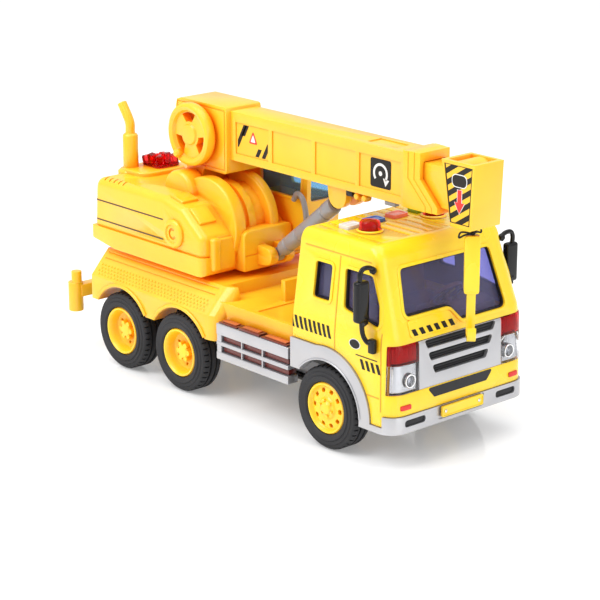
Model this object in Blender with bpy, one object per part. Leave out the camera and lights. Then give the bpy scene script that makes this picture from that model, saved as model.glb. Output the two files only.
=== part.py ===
"""Toy crane truck: three axles, a cab, a swivelling turret and a telescopic boom with a hoist.

+X points to the cab, +Y to the truck's left, +Z up. The origin is on the ground, midway along.
Every size below is in millimetres; the meshes are written in metres.
"""
import math

import bmesh
import bpy
from mathutils import Matrix, Vector

MM = 0.001
GAP = 0.3                          # clearance between pieces that touch

# Wheels and axles
TYRE_R, TYRE_IN, TYRE_OUT = 23.0, 37.0, 52.0
RIM_R = 14.2
SHAFT_R = 2.0
AXLE_X = {"front": 83.9, "middle": -40.7, "rear": -95.0}
AXLE_Z = TYRE_R
ARCH_R = 27.0

# Chassis and deck
FRAME_Z = (33.0, 41.0)
FRAME_HALF = 24.0
FRAME_ENDS = (-136.3, 128.6)
FRAME_INSIDE = 19.5
TAB_HALF, TAB_Z = 4.0, 18.5        # the tabs that hold each axle
SLEEVE_X, SLEEVE_HALF, SLEEVE_Z = (-150.0, -136.0), 29.5, (30.5, 43.0)
SLEEVE_BORE_X, SLEEVE_BORE_Z = (-147.6, -139.6), (32.7, 40.8)
POST_R, POST_HOLE_R = 12.0, 12.5   # the turret's post and the hole it turns in
DECK_BOTTOM = FRAME_Z[1] + GAP
DECK_TOP = 59.0
PLINTH_TOP = 66.0
DECK_REAR, DECK_STEP, DECK_FRONT = -124.0, -15.0, 56.0
DECK_HALF = 44.0
BULKHEAD_X, BULKHEAD_HALF, BULKHEAD_TOP = (9.6, 13.0), 17.0, 71.0
FENDER_HALF, FENDER_Z = 51.0, (37.0, 51.5)
SHOULDER = (44.5, 59.0)
PLINTH_HALF = 38.0
STABILISER_X = -145.0
STABILISER_Z = (33.0, 40.5)
STABILISER_Y = 48.0

# Underside
HOUSING_X, HOUSING_HALF, HOUSING_BOTTOM = (-106.5, -73.5), 13.0, 11.0
HOUSING_WALL = 1.6
FLYWHEEL_X = AXLE_X["rear"] + 13.0
FLYWHEEL_SHAFT_R = 1.4
COVER_X, COVER_HALF, COVER_Z = (-20.0, 44.0), 20.0, (17.5, 19.5)
BATTERY_INSET = 4.0
RACK_X, RACK_Z = (-6.0, 54.5), (28.5, 49.5)
RACK_GROOVES, GROOVE_TALL = (33.0, 39.2), 3.8

# Cab: (height, rear x, front x, half width, front corner radius)
CAB_SECTIONS = [
    (24.0, 56.5, 134.0, 51.0, 11.0),
    (66.0, 56.5, 132.8, 50.6, 11.0),
    (72.0, 56.5, 131.0, 50.0, 9.0),
    (107.0, 57.0, 119.0, 45.4, 6.0),
    (113.5, 57.5, 115.5, 44.3, 6.0),
    (116.5, 59.5, 112.0, 41.8, 5.0),
]
CAB_WALL = 2.4
GLASS = 1.2
GLAZING_Z = (70.0, 108.0)
FLOOR_Z = (57.8, 60.5)
STEERING_AT = (101.5, 20.0, 76.5)
LAMP_BAND = (41.5, 68.0)           # heights between which lamps and grille close the front
LAMP_SPLIT = 57.4
LAMP_REAR_X = 128.0
GRILLE_HALF = 31.0
SKIRT_ARCH_R = (26.5, 34.5)
SKIRT_TOP = 56.7
SKIRT_SIDE, SKIRT_INSIDE = 51.9, 46.2
SKIRT_LIP_Z = 23.7                 # the side strip's top, just under the cab's lower edge
BUMPER_Z = (20.3, 29.7)
BUMPER_FRONT, BUMPER_REAR = 134.5, 127.1
ROOF_Z = CAB_SECTIONS[-1][0]
BUTTON_Y = {"white": -25.5, "blue": -8.5, "pink": 8.5, "green": 25.5}
BUTTON_X = 75.0
BUTTON_SIZE = (8.0, 11.0)
BUTTON_Z = (ROOF_Z - 4.5, ROOF_Z + 1.8)
BEACON_X, BEACON_Y, BEACON_R = 88.0, 23.7, 6.0

# Turret
SWIVEL_X = -68.0
HOUSE_Z = 69.0
HOUSE_HALF = 44.0
CHEEK_CENTRE = (-50.0, 93.0)
CHEEK_R = 27.0
CHEEKS_Y = ((-22.5, -14.0), (4.0, 10.5))
DRUM_R = 21.0
TURNTABLE_R = 34.0
OPERATOR_Y = (18.0, 44.0)
OPERATOR_WALL = 1.8
BRACKET_CENTRE, BRACKET_R = (-73.0, 108.0), 13.0
BRACKETS_Y = ((-30.0, -14.0), (14.0, OPERATOR_Y[0] - GAP))
PIN_Y = (-22.0, 17.0)
PIN_R, PIN_WAY_R = 2.0, 2.3
FRONT_PLATE_X, FRONT_PLATE_TOP = (-29.0, -20.0), 93.0
EAR_R = 5.0
EXHAUST_FOOT = (-126.0, -18.0)

# Boom, in its level rest position
LUFF_PIVOT = (-70.0, 115.0)
BOOM_Z = (130.0, 158.4)
COLLAR_TOP = 160.3                 # the collar and the head stand proud of the boom
BOOM_HALF = 10.0
BOOM_WALL = 1.8
WINCH_X = (-88.0, -42.0)
WINCH_Z = (121.5, 160.5)
WINCH_HALF = 13.0
WINCH_WALL = 2.5
BORE_X = (-36.0, 140.0)
LUG_HALF = 13.6
HEAD_FRONT = 150.0
HEAD_HALF = 10.8
LUG = (45.0, 124.5)
RAM_FOOT = (-13.0, 78.0)
RAM_R, ROD_R = 4.5, 2.4
HANDWHEEL = (-67.0, 142.0)
HANDWHEEL_R = 18.6
PULLEY = (136.3, 150.5)
HOOK_AT = (141.0, -1.5)
HOOK_YAW = math.radians(48.0)
HOOK_BEND, HOOK_R = (3.8, 71.2), (3.4, 6.2)


# ---------------------------------------------------------------- materials

def material(name, colour, roughness=0.4, metallic=0.0, alpha=1.0):
    """A Principled BSDF with the given linear colour."""
    made = bpy.data.materials.new(name)
    made.use_nodes = True
    shader = made.node_tree.nodes["Principled BSDF"]
    shader.inputs["Base Color"].default_value = (*colour, 1.0)
    shader.inputs["Roughness"].default_value = roughness
    shader.inputs["Metallic"].default_value = metallic
    shader.inputs["Alpha"].default_value = alpha
    made.diffuse_color = (*colour, alpha)
    return made


def make_materials():
    return {
        "golden": material("golden_plastic", (1.0, 0.55, 0.02), 0.3),
        "lemon": material("lemon_plastic", (1.0, 0.68, 0.02), 0.3),
        "silver": material("silver_plastic", (0.55, 0.55, 0.57), 0.45),
        "black": material("black_plastic", (0.015, 0.015, 0.017), 0.4),
        "rubber": material("tyre_rubber", (0.03, 0.03, 0.033), 0.75),
        "rim": material("rim_plastic", (1.0, 0.62, 0.02), 0.35),
        "grey": material("grey_plastic", (0.3, 0.3, 0.32), 0.4),
        "steel": material("steel", (0.6, 0.6, 0.6), 0.25, 1.0),
        "tint": material("tinted_window", (0.02, 0.02, 0.12), 0.08, 0.0, 0.5),
        "sky": material("blue_window", (0.03, 0.3, 0.7), 0.08, 0.0, 0.5),
        "brown": material("brown_plastic", (0.09, 0.035, 0.012), 0.5),
        "red": material("red_lens", (0.8, 0.02, 0.02), 0.12, 0.0, 0.8),
        "clear": material("clear_lens", (0.8, 0.82, 0.84), 0.1, 0.0, 0.5),
        "plate": material("plate_plastic", (1.0, 0.75, 0.05), 0.35),
        "board": material("circuit_board", (0.02, 0.2, 0.07), 0.5),
        "string": material("black_string", (0.01, 0.01, 0.01), 0.8),
        "white": material("white_button", (0.85, 0.85, 0.85), 0.3),
        "blue": material("blue_button", (0.04, 0.12, 0.6), 0.3),
        "pink": material("pink_button", (1.0, 0.3, 0.2), 0.3),
        "green": material("green_button", (0.3, 0.6, 0.03), 0.3),
    }


# ---------------------------------------------------------------- solids

def mesh_object(name, points, faces, finish=None, smooth=False):
    """A closed mesh with its faces pointing out; points are in millimetres."""
    work = bmesh.new()
    corners = [work.verts.new(Vector(point) * MM) for point in points]
    for face in faces:
        work.faces.new([corners[i] for i in face])
    bmesh.ops.recalc_face_normals(work, faces=work.faces)
    mesh = bpy.data.meshes.new(name)
    work.to_mesh(mesh)
    work.free()
    if smooth:
        mesh.shade_smooth()
        mesh.set_sharp_from_angle(angle=math.radians(40))
    made = bpy.data.objects.new(name, mesh)
    bpy.context.collection.objects.link(made)
    if finish:
        mesh.materials.append(finish)
    return made


def place(axis, u, v, along):
    """A point from two outline coordinates and a distance along the extrusion axis."""
    return {"X": (along, u, v), "Y": (u, along, v), "Z": (u, v, along)}[axis]


def prism(name, outline, low, high, axis, finish=None):
    """An outline of (u, v) points extruded from low to high along an axis."""
    count = len(outline)
    points = [place(axis, u, v, low) for u, v in outline]
    points += [place(axis, u, v, high) for u, v in outline]
    faces = [list(range(count)), list(range(count, 2 * count))]
    for i in range(count):
        j = (i + 1) % count
        faces.append([i, j, count + j, count + i])
    return mesh_object(name, points, faces, finish)


def block(name, x, y, z, finish=None):
    """A box from three (low, high) pairs."""
    outline = [(x[0], y[0]), (x[1], y[0]), (x[1], y[1]), (x[0], y[1])]
    return prism(name, outline, z[0], z[1], "Z", finish)


def loft(name, rings, finish=None):
    """A solid through rings that have the same number of points."""
    count = len(rings[0])
    points = [point for ring in rings for point in ring]
    last = count * (len(rings) - 1)
    faces = [list(range(count)), list(range(last, last + count))]
    for k in range(len(rings) - 1):
        for i in range(count):
            j = (i + 1) % count
            faces.append([k * count + i, k * count + j, (k + 1) * count + j, (k + 1) * count + i])
    return mesh_object(name, points, faces, finish)


def turned(name, profile, centre, axis, finish=None, steps=20):
    """A profile of (radius, distance along the axis) turned about a line through centre.

    A profile that starts and ends on the axis makes a solid; any other closes into a ring.
    """
    points, rows = [], []
    for radius, along in profile:
        turns = 1 if radius == 0 else steps
        rows.append(range(len(points), len(points) + turns))
        for k in range(turns):
            angle = 2 * math.pi * k / steps
            offset = place(axis, radius * math.cos(angle), radius * math.sin(angle), along)
            points.append([c + o for c, o in zip(centre, offset)])
    pairs = list(zip(rows, rows[1:]))
    if len(rows[0]) > 1:
        pairs.append((rows[-1], rows[0]))
    faces = []
    for a, b in pairs:
        for k in range(steps):
            n = (k + 1) % steps
            corners = [a[k % len(a)], a[n % len(a)], b[n % len(b)], b[k % len(b)]]
            faces.append(list(dict.fromkeys(corners)))
    return mesh_object(name, points, faces, finish, smooth=True)


def rod(name, centre, radius, low, high, axis, finish=None, steps=20):
    """A plain cylinder between two distances along its axis from centre."""
    return turned(name, [(0, low), (radius, low), (radius, high), (0, high)], centre, axis, finish, steps)


def tube(name, path, radii, finish=None, sides=10):
    """A round bar through the path's points, with a radius at each."""
    rings = []
    path = [Vector(p) for p in path]
    side = None
    for i, point in enumerate(path):
        ahead = path[min(i + 1, len(path) - 1)] - path[max(i - 1, 0)]
        ahead.normalize()
        if side is None:
            side = ahead.orthogonal().normalized()
        side = (side - ahead * side.dot(ahead)).normalized()
        across = ahead.cross(side)
        ring = []
        for k in range(sides):
            angle = 2 * math.pi * k / sides
            ring.append(point + (side * math.cos(angle) + across * math.sin(angle)) * radii[i])
        rings.append(ring)
    made = loft(name, rings, finish)
    made.data.shade_smooth()
    made.data.set_sharp_from_angle(angle=math.radians(50))
    return made


def arc(centre, radius, start, end, steps):
    """Points on an arc, angles in degrees, both ends included."""
    points = []
    for k in range(steps + 1):
        angle = math.radians(start + (end - start) * k / steps)
        points.append((centre[0] + radius * math.cos(angle), centre[1] + radius * math.sin(angle)))
    return points


def rounded(corners, radius, steps=2):
    """The outline with each corner rounded; radius is one number or one for each corner."""
    radii = [radius] * len(corners) if isinstance(radius, (int, float)) else radius
    points = []
    for i, corner in enumerate(corners):
        here = Vector(corner)
        before = Vector(corners[i - 1]) - here
        after = Vector(corners[(i + 1) % len(corners)]) - here
        if radii[i] == 0:
            points.append(tuple(here))
            continue
        half = before.angle(after) / 2
        reach = min(radii[i] / math.tan(half), before.length * 0.49, after.length * 0.49)
        start = here + before.normalized() * reach
        end = here + after.normalized() * reach
        for k in range(steps + 1):
            t = k / steps
            point = start * (1 - t) ** 2 + here * 2 * t * (1 - t) + end * t ** 2
            points.append(tuple(point))
    return points


# ---------------------------------------------------------------- joining and cutting

def combine(target, operation, tools):
    for tool in tools:
        step = target.modifiers.new(operation.lower(), "BOOLEAN")
        step.operation = operation
        step.object = tool
        tool.hide_render = True
        tool.display_type = "WIRE"
    return target


def fuse(target, *tools):
    return combine(target, "UNION", tools)


def cut(target, *tools):
    return combine(target, "DIFFERENCE", tools)


def keep(target, *tools):
    return combine(target, "INTERSECT", tools)


def body(name, point, parent=None):
    """An empty on a joint's axis, which the moving pieces are parented to."""
    made = bpy.data.objects.new(name, None)
    bpy.context.collection.objects.link(made)
    made.empty_display_size = 0.01
    made.matrix_world = Matrix.Translation(Vector(point) * MM)
    if parent:
        made.parent = parent
        made.matrix_parent_inverse = parent.matrix_world.inverted()
    return made


def attach(holder, *pieces):
    """Parent pieces to a holder and keep them where they are."""
    for piece in pieces:
        piece.parent = holder
        piece.matrix_parent_inverse = holder.matrix_world.inverted()


# ---------------------------------------------------------------- chassis

def make_chassis(finishes):
    rear, front = FRAME_ENDS
    outline = [(rear, FRAME_Z[1]), (rear, FRAME_Z[0])]
    for axle in ("rear", "middle", "front"):
        x = AXLE_X[axle]
        outline += [(x - TAB_HALF, FRAME_Z[0]), (x - TAB_HALF, TAB_Z)]
        outline += [(x + TAB_HALF, TAB_Z), (x + TAB_HALF, FRAME_Z[0])]
    outline += [(front, FRAME_Z[0]), (front, FRAME_Z[1])]
    frame = prism("chassis_frame", outline, -FRAME_HALF, FRAME_HALF, "Y", finishes["black"])
    between_tabs = block("frame_gap", (-116, 110), (-FRAME_INSIDE, FRAME_INSIDE), (10, FRAME_Z[0]))
    sleeve = block("sleeve", SLEEVE_X, (-SLEEVE_HALF, SLEEVE_HALF), SLEEVE_Z)
    sleeve_bore = block("sleeve_bore", SLEEVE_BORE_X, (-40, 40), SLEEVE_BORE_Z)
    bores = [
        rod(f"{axle}_bore", (x, 0, AXLE_Z), SHAFT_R + 0.4, -30, 30, "Y", steps=12)
        for axle, x in AXLE_X.items()
    ]
    pivot_hole = rod("pivot_hole", (SWIVEL_X, 0, 0), POST_HOLE_R, 30, 45, "Z")
    cut(frame, between_tabs, *bores, pivot_hole)
    fuse(frame, sleeve)
    cut(frame, sleeve_bore)

    low, waist = FENDER_Z
    half_section = [
        (36, DECK_BOTTOM), (36, low), (FENDER_HALF, low), (FENDER_HALF, waist),
        SHOULDER, (PLINTH_HALF, PLINTH_TOP),
    ]
    deck_section = half_section + [(-y, z) for y, z in reversed(half_section)]
    deck = prism("chassis_deck", deck_section, DECK_REAR, DECK_STEP, "X", finishes["golden"])
    front_deck_x = (DECK_STEP - 3, DECK_FRONT)
    front_deck = block("front_deck", front_deck_x, (-DECK_HALF, DECK_HALF), (DECK_BOTTOM, DECK_TOP))
    bulkhead_z = (DECK_TOP - 3, BULKHEAD_TOP)
    bulkhead = block("bulkhead", BULKHEAD_X, (-BULKHEAD_HALF, BULKHEAD_HALF), bulkhead_z)
    arches = [
        rod(f"{axle}_arch", (AXLE_X[axle], side * 48, AXLE_Z), ARCH_R, -12, 12, "Y", steps=32)
        for axle in ("middle", "rear") for side in (-1, 1)
    ]
    deck_hole = rod("deck_hole", (SWIVEL_X, 0, 0), POST_HOLE_R, 30, 80, "Z")
    fuse(deck, front_deck, bulkhead)
    cut(deck, *arches, deck_hole)

    half, bottom = HOUSING_HALF, HOUSING_BOTTOM
    outside_z = (bottom, FRAME_Z[0] - GAP)
    housing = block("friction_housing", HOUSING_X, (-half, half), outside_z, finishes["black"])
    inside_x = (HOUSING_X[0] + HOUSING_WALL, HOUSING_X[1] - HOUSING_WALL)
    inside = half - HOUSING_WALL
    hollow = block("housing_hollow", inside_x, (-inside, inside), (bottom + HOUSING_WALL, 50))
    shaft_way = rod("shaft_way", (AXLE_X["rear"], 0, AXLE_Z), SHAFT_R + 0.4, -30, 30, "Y", steps=12)
    way_r = FLYWHEEL_SHAFT_R + 0.4
    flywheel_way = rod("flywheel_way", (FLYWHEEL_X, 0, AXLE_Z), way_r, -30, 30, "Y", steps=12)
    cut(housing, hollow, shaft_way, flywheel_way)

    block("battery_cover", COVER_X, (-COVER_HALF, COVER_HALF), COVER_Z, finishes["black"])
    pack_x = (COVER_X[0] + BATTERY_INSET, COVER_X[1] - BATTERY_INSET)
    pack_half = COVER_HALF - BATTERY_INSET
    pack_z = (COVER_Z[1] + GAP, FRAME_Z[0] - GAP)
    block("battery_pack", pack_x, (-pack_half, pack_half), pack_z, finishes["grey"])


def make_stabiliser(side, name, finishes):
    """An arm that slides out of the rear sleeve, with its jack and grip."""
    low, high = sorted((side * 2.0, side * (STABILISER_Y - 1)))
    arm = block(name, (STABILISER_X - 2.3, STABILISER_X + 5.1), (low, high), STABILISER_Z, finishes["golden"])
    jack = rod(f"{name}_jack", (STABILISER_X, side * STABILISER_Y, 0), 4.6, 24, 42, "Z", steps=16)
    grip = rod(f"{name}_grip", (STABILISER_X + 1.2, side * STABILISER_Y, 0), 3.2, 40, 49, "Z", steps=12)
    return fuse(arm, jack, grip)


def make_rack(side, name, finishes):
    """The side step frame with two grooves and two brackets to the chassis."""
    low, high = sorted((side * 44.3, side * SKIRT_SIDE))
    rack = block(name, RACK_X, (low, high), RACK_Z, finishes["silver"])
    grooves = []
    groove_x = (RACK_X[0] + 4, RACK_X[1] - 4)
    for z in RACK_GROOVES:
        inner, outer = sorted((side * 47.5, side * 60))
        grooves.append(block(f"{name}_groove", groove_x, (inner, outer), (z, z + GROOVE_TALL)))
    brackets = []
    for x in (8.0, 38.0):
        inner, outer = sorted((side * (FRAME_HALF + GAP), side * 46))
        brackets.append(block(f"{name}_bracket", (x, x + 6), (inner, outer), (34, 38)))
    fuse(rack, *brackets)
    cut(rack, *grooves)


# ---------------------------------------------------------------- wheels

def make_tyre(axle, side, name, finish):
    inner = TYRE_IN - 45
    outer = TYRE_OUT - 45
    profile = [
        (RIM_R + GAP, inner + 0.6), (17.0, inner), (21.0, inner + 0.3), (TYRE_R, inner + 2.0),
        (TYRE_R, outer - 2.0), (21.0, outer - 0.3), (17.0, outer), (RIM_R + GAP, outer - 0.6),
    ]
    if side < 0:
        profile = [(radius, -along) for radius, along in profile]
    return turned(name, profile, (AXLE_X[axle], side * 45, AXLE_Z), "Y", finish, 28)


def make_rim(axle, side, name, finish):
    """Front rims are domed and rear rims dished; the axle sits in a blind hole."""
    if axle == "front":
        face = [(0, 6.0), (4.5, 6.0), (5.5, 4.8), (12.3, 4.2), (12.9, 6.2), (RIM_R, 6.2)]
    else:
        face = [(0, 3.6), (4.5, 3.6), (5.0, 0.6), (11.0, 1.4), (12.6, 6.2), (RIM_R, 6.2)]
    bore = SHAFT_R + GAP
    profile = face + [(RIM_R, -7.0), (bore, -7.0), (bore, 1.4 - GAP), (0, 1.4 - GAP)]
    if axle != "front":
        profile = face + [(RIM_R, -7.0), (bore, -7.0), (bore, 0.2 - GAP), (0, 0.2 - GAP)]
    if side < 0:
        profile = [(radius, -along) for radius, along in profile]
    return turned(name, profile, (AXLE_X[axle], side * 45, AXLE_Z), "Y", finish, 24)


def gear_outline(teeth, root, tip, centre):
    points = []
    for k in range(teeth):
        for share, radius in ((0.0, root), (0.3, root), (0.45, tip), (0.8, tip)):
            angle = 2 * math.pi * (k + share) / teeth
            points.append((centre[0] + radius * math.cos(angle), centre[1] + radius * math.sin(angle)))
    return points


def make_wheels(finishes):
    """Three axles, each with two rims and two tyres, and the friction drive's flywheel."""
    for axle, x in AXLE_X.items():
        reach = 45.8 if axle == "front" else 44.6
        holder = body(f"{axle}_axle_body", (x, 0, AXLE_Z))
        shaft = rod(f"{axle}_axle", (x, 0, AXLE_Z), SHAFT_R, -reach, reach, "Y", finishes["steel"], 12)
        if axle == "rear":
            gear = prism("drive_gear", gear_outline(18, 7.9, 9.1, (x, AXLE_Z)), 0.5, 5.5, "Y")
            fuse(shaft, gear)
        attach(holder, shaft)
        for side, word in ((-1, "right"), (1, "left")):
            attach(holder, make_rim(axle, side, f"{axle}_{word}_rim", finishes["rim"]))
            attach(holder, make_tyre(axle, side, f"{axle}_{word}_tyre", finishes["rubber"]))
    centre = (FLYWHEEL_X, 0, AXLE_Z)
    thin, disc = FLYWHEEL_SHAFT_R, 6.5
    profile = [
        (0, -12.7), (thin, -12.7), (thin, -9.5), (disc, -9.5),
        (disc, -4.5), (thin, -4.5), (thin, 12.7), (0, 12.7),
    ]
    flywheel = turned("flywheel", profile, centre, "Y", finishes["steel"], 20)
    pinion = prism("pinion", gear_outline(8, 2.6, 3.5, (centre[0], AXLE_Z)), -0.5, 6.5, "Y")
    fuse(flywheel, pinion)
    attach(body("flywheel_body", centre), flywheel)


# ---------------------------------------------------------------- cab

def cab_ring(section, inset, height=None):
    """The cab's plan outline at one height, drawn in by inset."""
    z, rear, front, half, radius = section
    corners = [
        (rear + inset, -half + inset), (front - inset, -half + inset),
        (front - inset, half - inset), (rear + inset, half - inset),
    ]
    plan = rounded(corners, [1.5, radius, radius, 1.5], 3)
    return [(x, y, z if height is None else height) for x, y in plan]


def cab_section(z):
    """The section at any height, between the two listed ones around it."""
    for low, high in zip(CAB_SECTIONS, CAB_SECTIONS[1:]):
        if z <= high[0]:
            t = (z - low[0]) / (high[0] - low[0])
            return tuple(a + (b - a) * t for a, b in zip(low, high))
    return CAB_SECTIONS[-1]


def cab_solid(name, inset, low, high, finish=None):
    """The cab's outer form between two heights, drawn in by inset."""
    heights = [low] + [s[0] for s in CAB_SECTIONS if low < s[0] < high] + [high]
    return loft(name, [cab_ring(cab_section(z), inset, z) for z in heights], finish)


def window_cutters():
    side = rounded([(71.5, 82), (84.3, 82), (84.3, 101.5), (71.5, 101.5)], 2.0)
    door = rounded([(95.5, 81), (123, 76), (121, 88), (114.5, 102), (94, 102)], [3, 3, 3, 3, 2])
    rear = rounded([(-26, 84), (26, 84), (26, 103), (-26, 103)], 3.0)
    screen = rounded(
        [(-36.8, 80.6), (-4, 80.6), (3, 72.5), (36.8, 72.5), (33.2, 104.6), (-33.2, 104.6)],
        [4, 5, 3, 4, 3, 3], 3,
    )
    return [
        prism("side_window_way", side, -60, 60, "Y"),
        prism("door_window_way", door, -60, 60, "Y"),
        prism("rear_window_way", rear, 50, 66, "X"),
        prism("windscreen_way", screen, 108, 140, "X"),
    ]


def make_cab(finishes):
    shell = cab_solid("cab_shell", 0, 24, ROOF_Z, finishes["lemon"])
    inner = cab_solid("cab_hollow", CAB_WALL, 20, ROOF_Z - CAB_WALL)
    arch = rod("cab_arch", (AXLE_X["front"], 0, AXLE_Z), SKIRT_ARCH_R[1] + GAP, -60, 60, "Y", steps=40)
    behind = block("cab_rear_low", (50, AXLE_X["front"]), (-60, 60), (10, SKIRT_TOP + GAP))
    front_low = block("cab_front_low", (BUMPER_REAR - GAP, 140), (-60, 60), (10, BUMPER_Z[1] + GAP))
    lamps = block("lamp_way", (LAMP_REAR_X, 140), (-60, 60), LAMP_BAND)
    pockets = []
    for y in BUTTON_Y.values():
        half_x, half_y = BUTTON_SIZE[0] / 2 + GAP, BUTTON_SIZE[1] / 2 + GAP
        pockets.append(
            block("button_way", (BUTTON_X - half_x, BUTTON_X + half_x), (y - half_y, y + half_y), (100, 130))
        )
    cut(shell, inner, arch, behind, front_low, lamps, *window_cutters(), *pockets)

    glazing = cab_solid("cab_glazing", CAB_WALL + GAP, *GLAZING_Z, finishes["tint"])
    cut(glazing, cab_solid("glazing_hollow", CAB_WALL + GAP + GLASS, 60, 112))

    floor = block("cab_interior", (62, 122), (-40, 40), FLOOR_Z, finishes["brown"])
    for side in (-1, 1):
        low, high = sorted((side * 7, side * 34))
        cushion = block("cushion", (68, 92), (low, high), (60, 70))
        back_outline = [(64, 60), (73, 60), (70, 96), (64, 96)]
        back = prism("seat_back", back_outline, low, high, "Y")
        fuse(floor, cushion, back)
    dash = prism("dash", [(106, 60), (121, 60), (121, 74), (112, 76)], -38, 38, "Y")
    column = tube("column", [(112, 20, 66), STEERING_AT], [1.6, 1.6], sides=8)
    wheel = turned("steering", [(8.5, -1), (10.5, -1), (10.5, 1), (8.5, 1)], (0, 0, 0), "Z", steps=20)
    spoke = block("steering_spoke", (-9.5, 9.5), (-1.6, 1.6), (-0.8, 0.8))
    for piece in (wheel, spoke):
        tilt = Matrix.Rotation(math.radians(-45), 4, "Y")
        piece.matrix_world = Matrix.Translation(Vector(STEERING_AT) * MM) @ tilt
    fuse(floor, dash, column, wheel, spoke)

    block("sound_board", (63, 100), (-36, 36), (107.3, 108.9), finishes["board"])


def make_skirt(finishes):
    """The silver lower trim: bumper in front, an arch plate on each side."""
    x, z = AXLE_X["front"], AXLE_Z
    inner_r, outer_r = SKIRT_ARCH_R
    plate = [(56.5, 40), (56.5, SKIRT_TOP), (76.0, SKIRT_TOP)]
    plate += arc((x, z), outer_r, 98, 0, 10)
    plate += [(122.0, SKIRT_LIP_Z), (122.0, BUMPER_Z[0]), (x + inner_r, BUMPER_Z[0])]
    plate += arc((x, z), inner_r, 0, 140, 12)
    section = (0, 100, BUMPER_FRONT, SKIRT_SIDE, 11.5)
    front = loft("cab_skirt", [cab_ring(section, 0, zz) for zz in BUMPER_Z], finishes["silver"])
    hollow = block("skirt_hollow", (90, 129), (-SKIRT_INSIDE, SKIRT_INSIDE), (10, 40))
    lip = block("skirt_lip", (90, BUMPER_REAR), (-60, 60), (SKIRT_LIP_Z, 40))
    arch = rod("skirt_arch", (x, 0, z), inner_r, -60, 60, "Y", steps=40)
    cut(front, hollow, lip, arch)
    for side in (-1, 1):
        low, high = sorted((side * SKIRT_INSIDE, side * SKIRT_SIDE))
        fuse(front, prism("arch_plate", plate, low, high, "Y"))


def make_front(finishes):
    """Grille, lamps and number plate."""
    grille = cab_solid("grille_surround", 0, LAMP_BAND[0] + GAP, LAMP_BAND[1] - GAP, finishes["silver"])
    half = GRILLE_HALF - GAP / 2
    keep(grille, block("grille_zone", (128.5, 140), (-half, half), (30, 80)))
    for z, reach in ((48.4, 21.5), (55.8, 24.5), (62.8, 26.5)):
        slot = [(-reach + 2, z), (reach - 2, z), (reach, z + 4.6), (-reach, z + 4.6)]
        cut(grille, prism("grille_slot", slot, 130.5, 140, "X"))
    for side, word in ((-1, "right"), (1, "left")):
        low, high = sorted((side * (GRILLE_HALF + GAP / 2), side * 60))
        levels = {
            "headlamp": (LAMP_BAND[0] + GAP, LAMP_SPLIT - GAP / 2, "clear"),
            "marker_lamp": (LAMP_SPLIT + GAP / 2, LAMP_BAND[1] - GAP, "red"),
        }
        for kind, (bottom, top, finish) in levels.items():
            lamp = cab_solid(f"{kind}_{word}", 0, bottom, top, finishes[finish])
            keep(lamp, block("lamp_zone", (LAMP_REAR_X + GAP, 140), (low, high), (30, 80)))
    plate_x = BUMPER_FRONT + GAP
    block("number_plate", (plate_x, plate_x + 1.2), (-15.5, 15.5), (23.3, 29.2), finishes["plate"])


def make_roof_parts(finishes):
    for side, word in ((-1, "right"), (1, "left")):
        profile = [
            (0, ROOF_Z + GAP), (BEACON_R + 1, ROOF_Z + GAP), (BEACON_R + 1, ROOF_Z + 1.2),
            (BEACON_R, ROOF_Z + 1.5), (BEACON_R - 0.6, ROOF_Z + 5.6), (0, ROOF_Z + 6.2),
        ]
        turned(f"beacon_{word}", profile, (BEACON_X, side * BEACON_Y, 0), "Z", finishes["red"])
    for word, y in BUTTON_Y.items():
        half_x, half_y = BUTTON_SIZE[0] / 2, BUTTON_SIZE[1] / 2
        cap = block(
            f"button_{word}", (BUTTON_X - half_x, BUTTON_X + half_x), (y - half_y, y + half_y),
            BUTTON_Z, finishes[word],
        )
        attach(body(f"button_{word}_body", (BUTTON_X, y, ROOF_Z)), cap)


def make_mirror(side, name, finish):
    """A tall mirror on an arm that loops from the pillar's top down to the door."""
    path = [
        (115.8, 46.9, 105.5), (115.8, 50.5, 107.6), (115.8, 55.0, 107.6), (115.7, 57.0, 104.5),
        (115.5, 56.5, 99.0), (115.5, 55.5, 80.0), (116.5, 54.8, 73.0), (119.0, 54.0, 68.0), (121.3, 52.9, 65.6),
    ]
    radii = [1.9, 1.5, 1.5, 1.5, 1.6, 1.6, 1.5, 1.5, 1.9]
    arm = tube(name, [(x, side * y, z) for x, y, z in path], radii, finish, 8)
    low, high = sorted((side * 50.3, side * 60.0))
    outline = rounded([(113.0, low), (118.0, low), (118.0, high), (113.0, high)], 1.5, 2)
    fuse(arm, prism(f"{name}_glass", outline, 76, 101.5, "Z"))


# ---------------------------------------------------------------- turret

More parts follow.
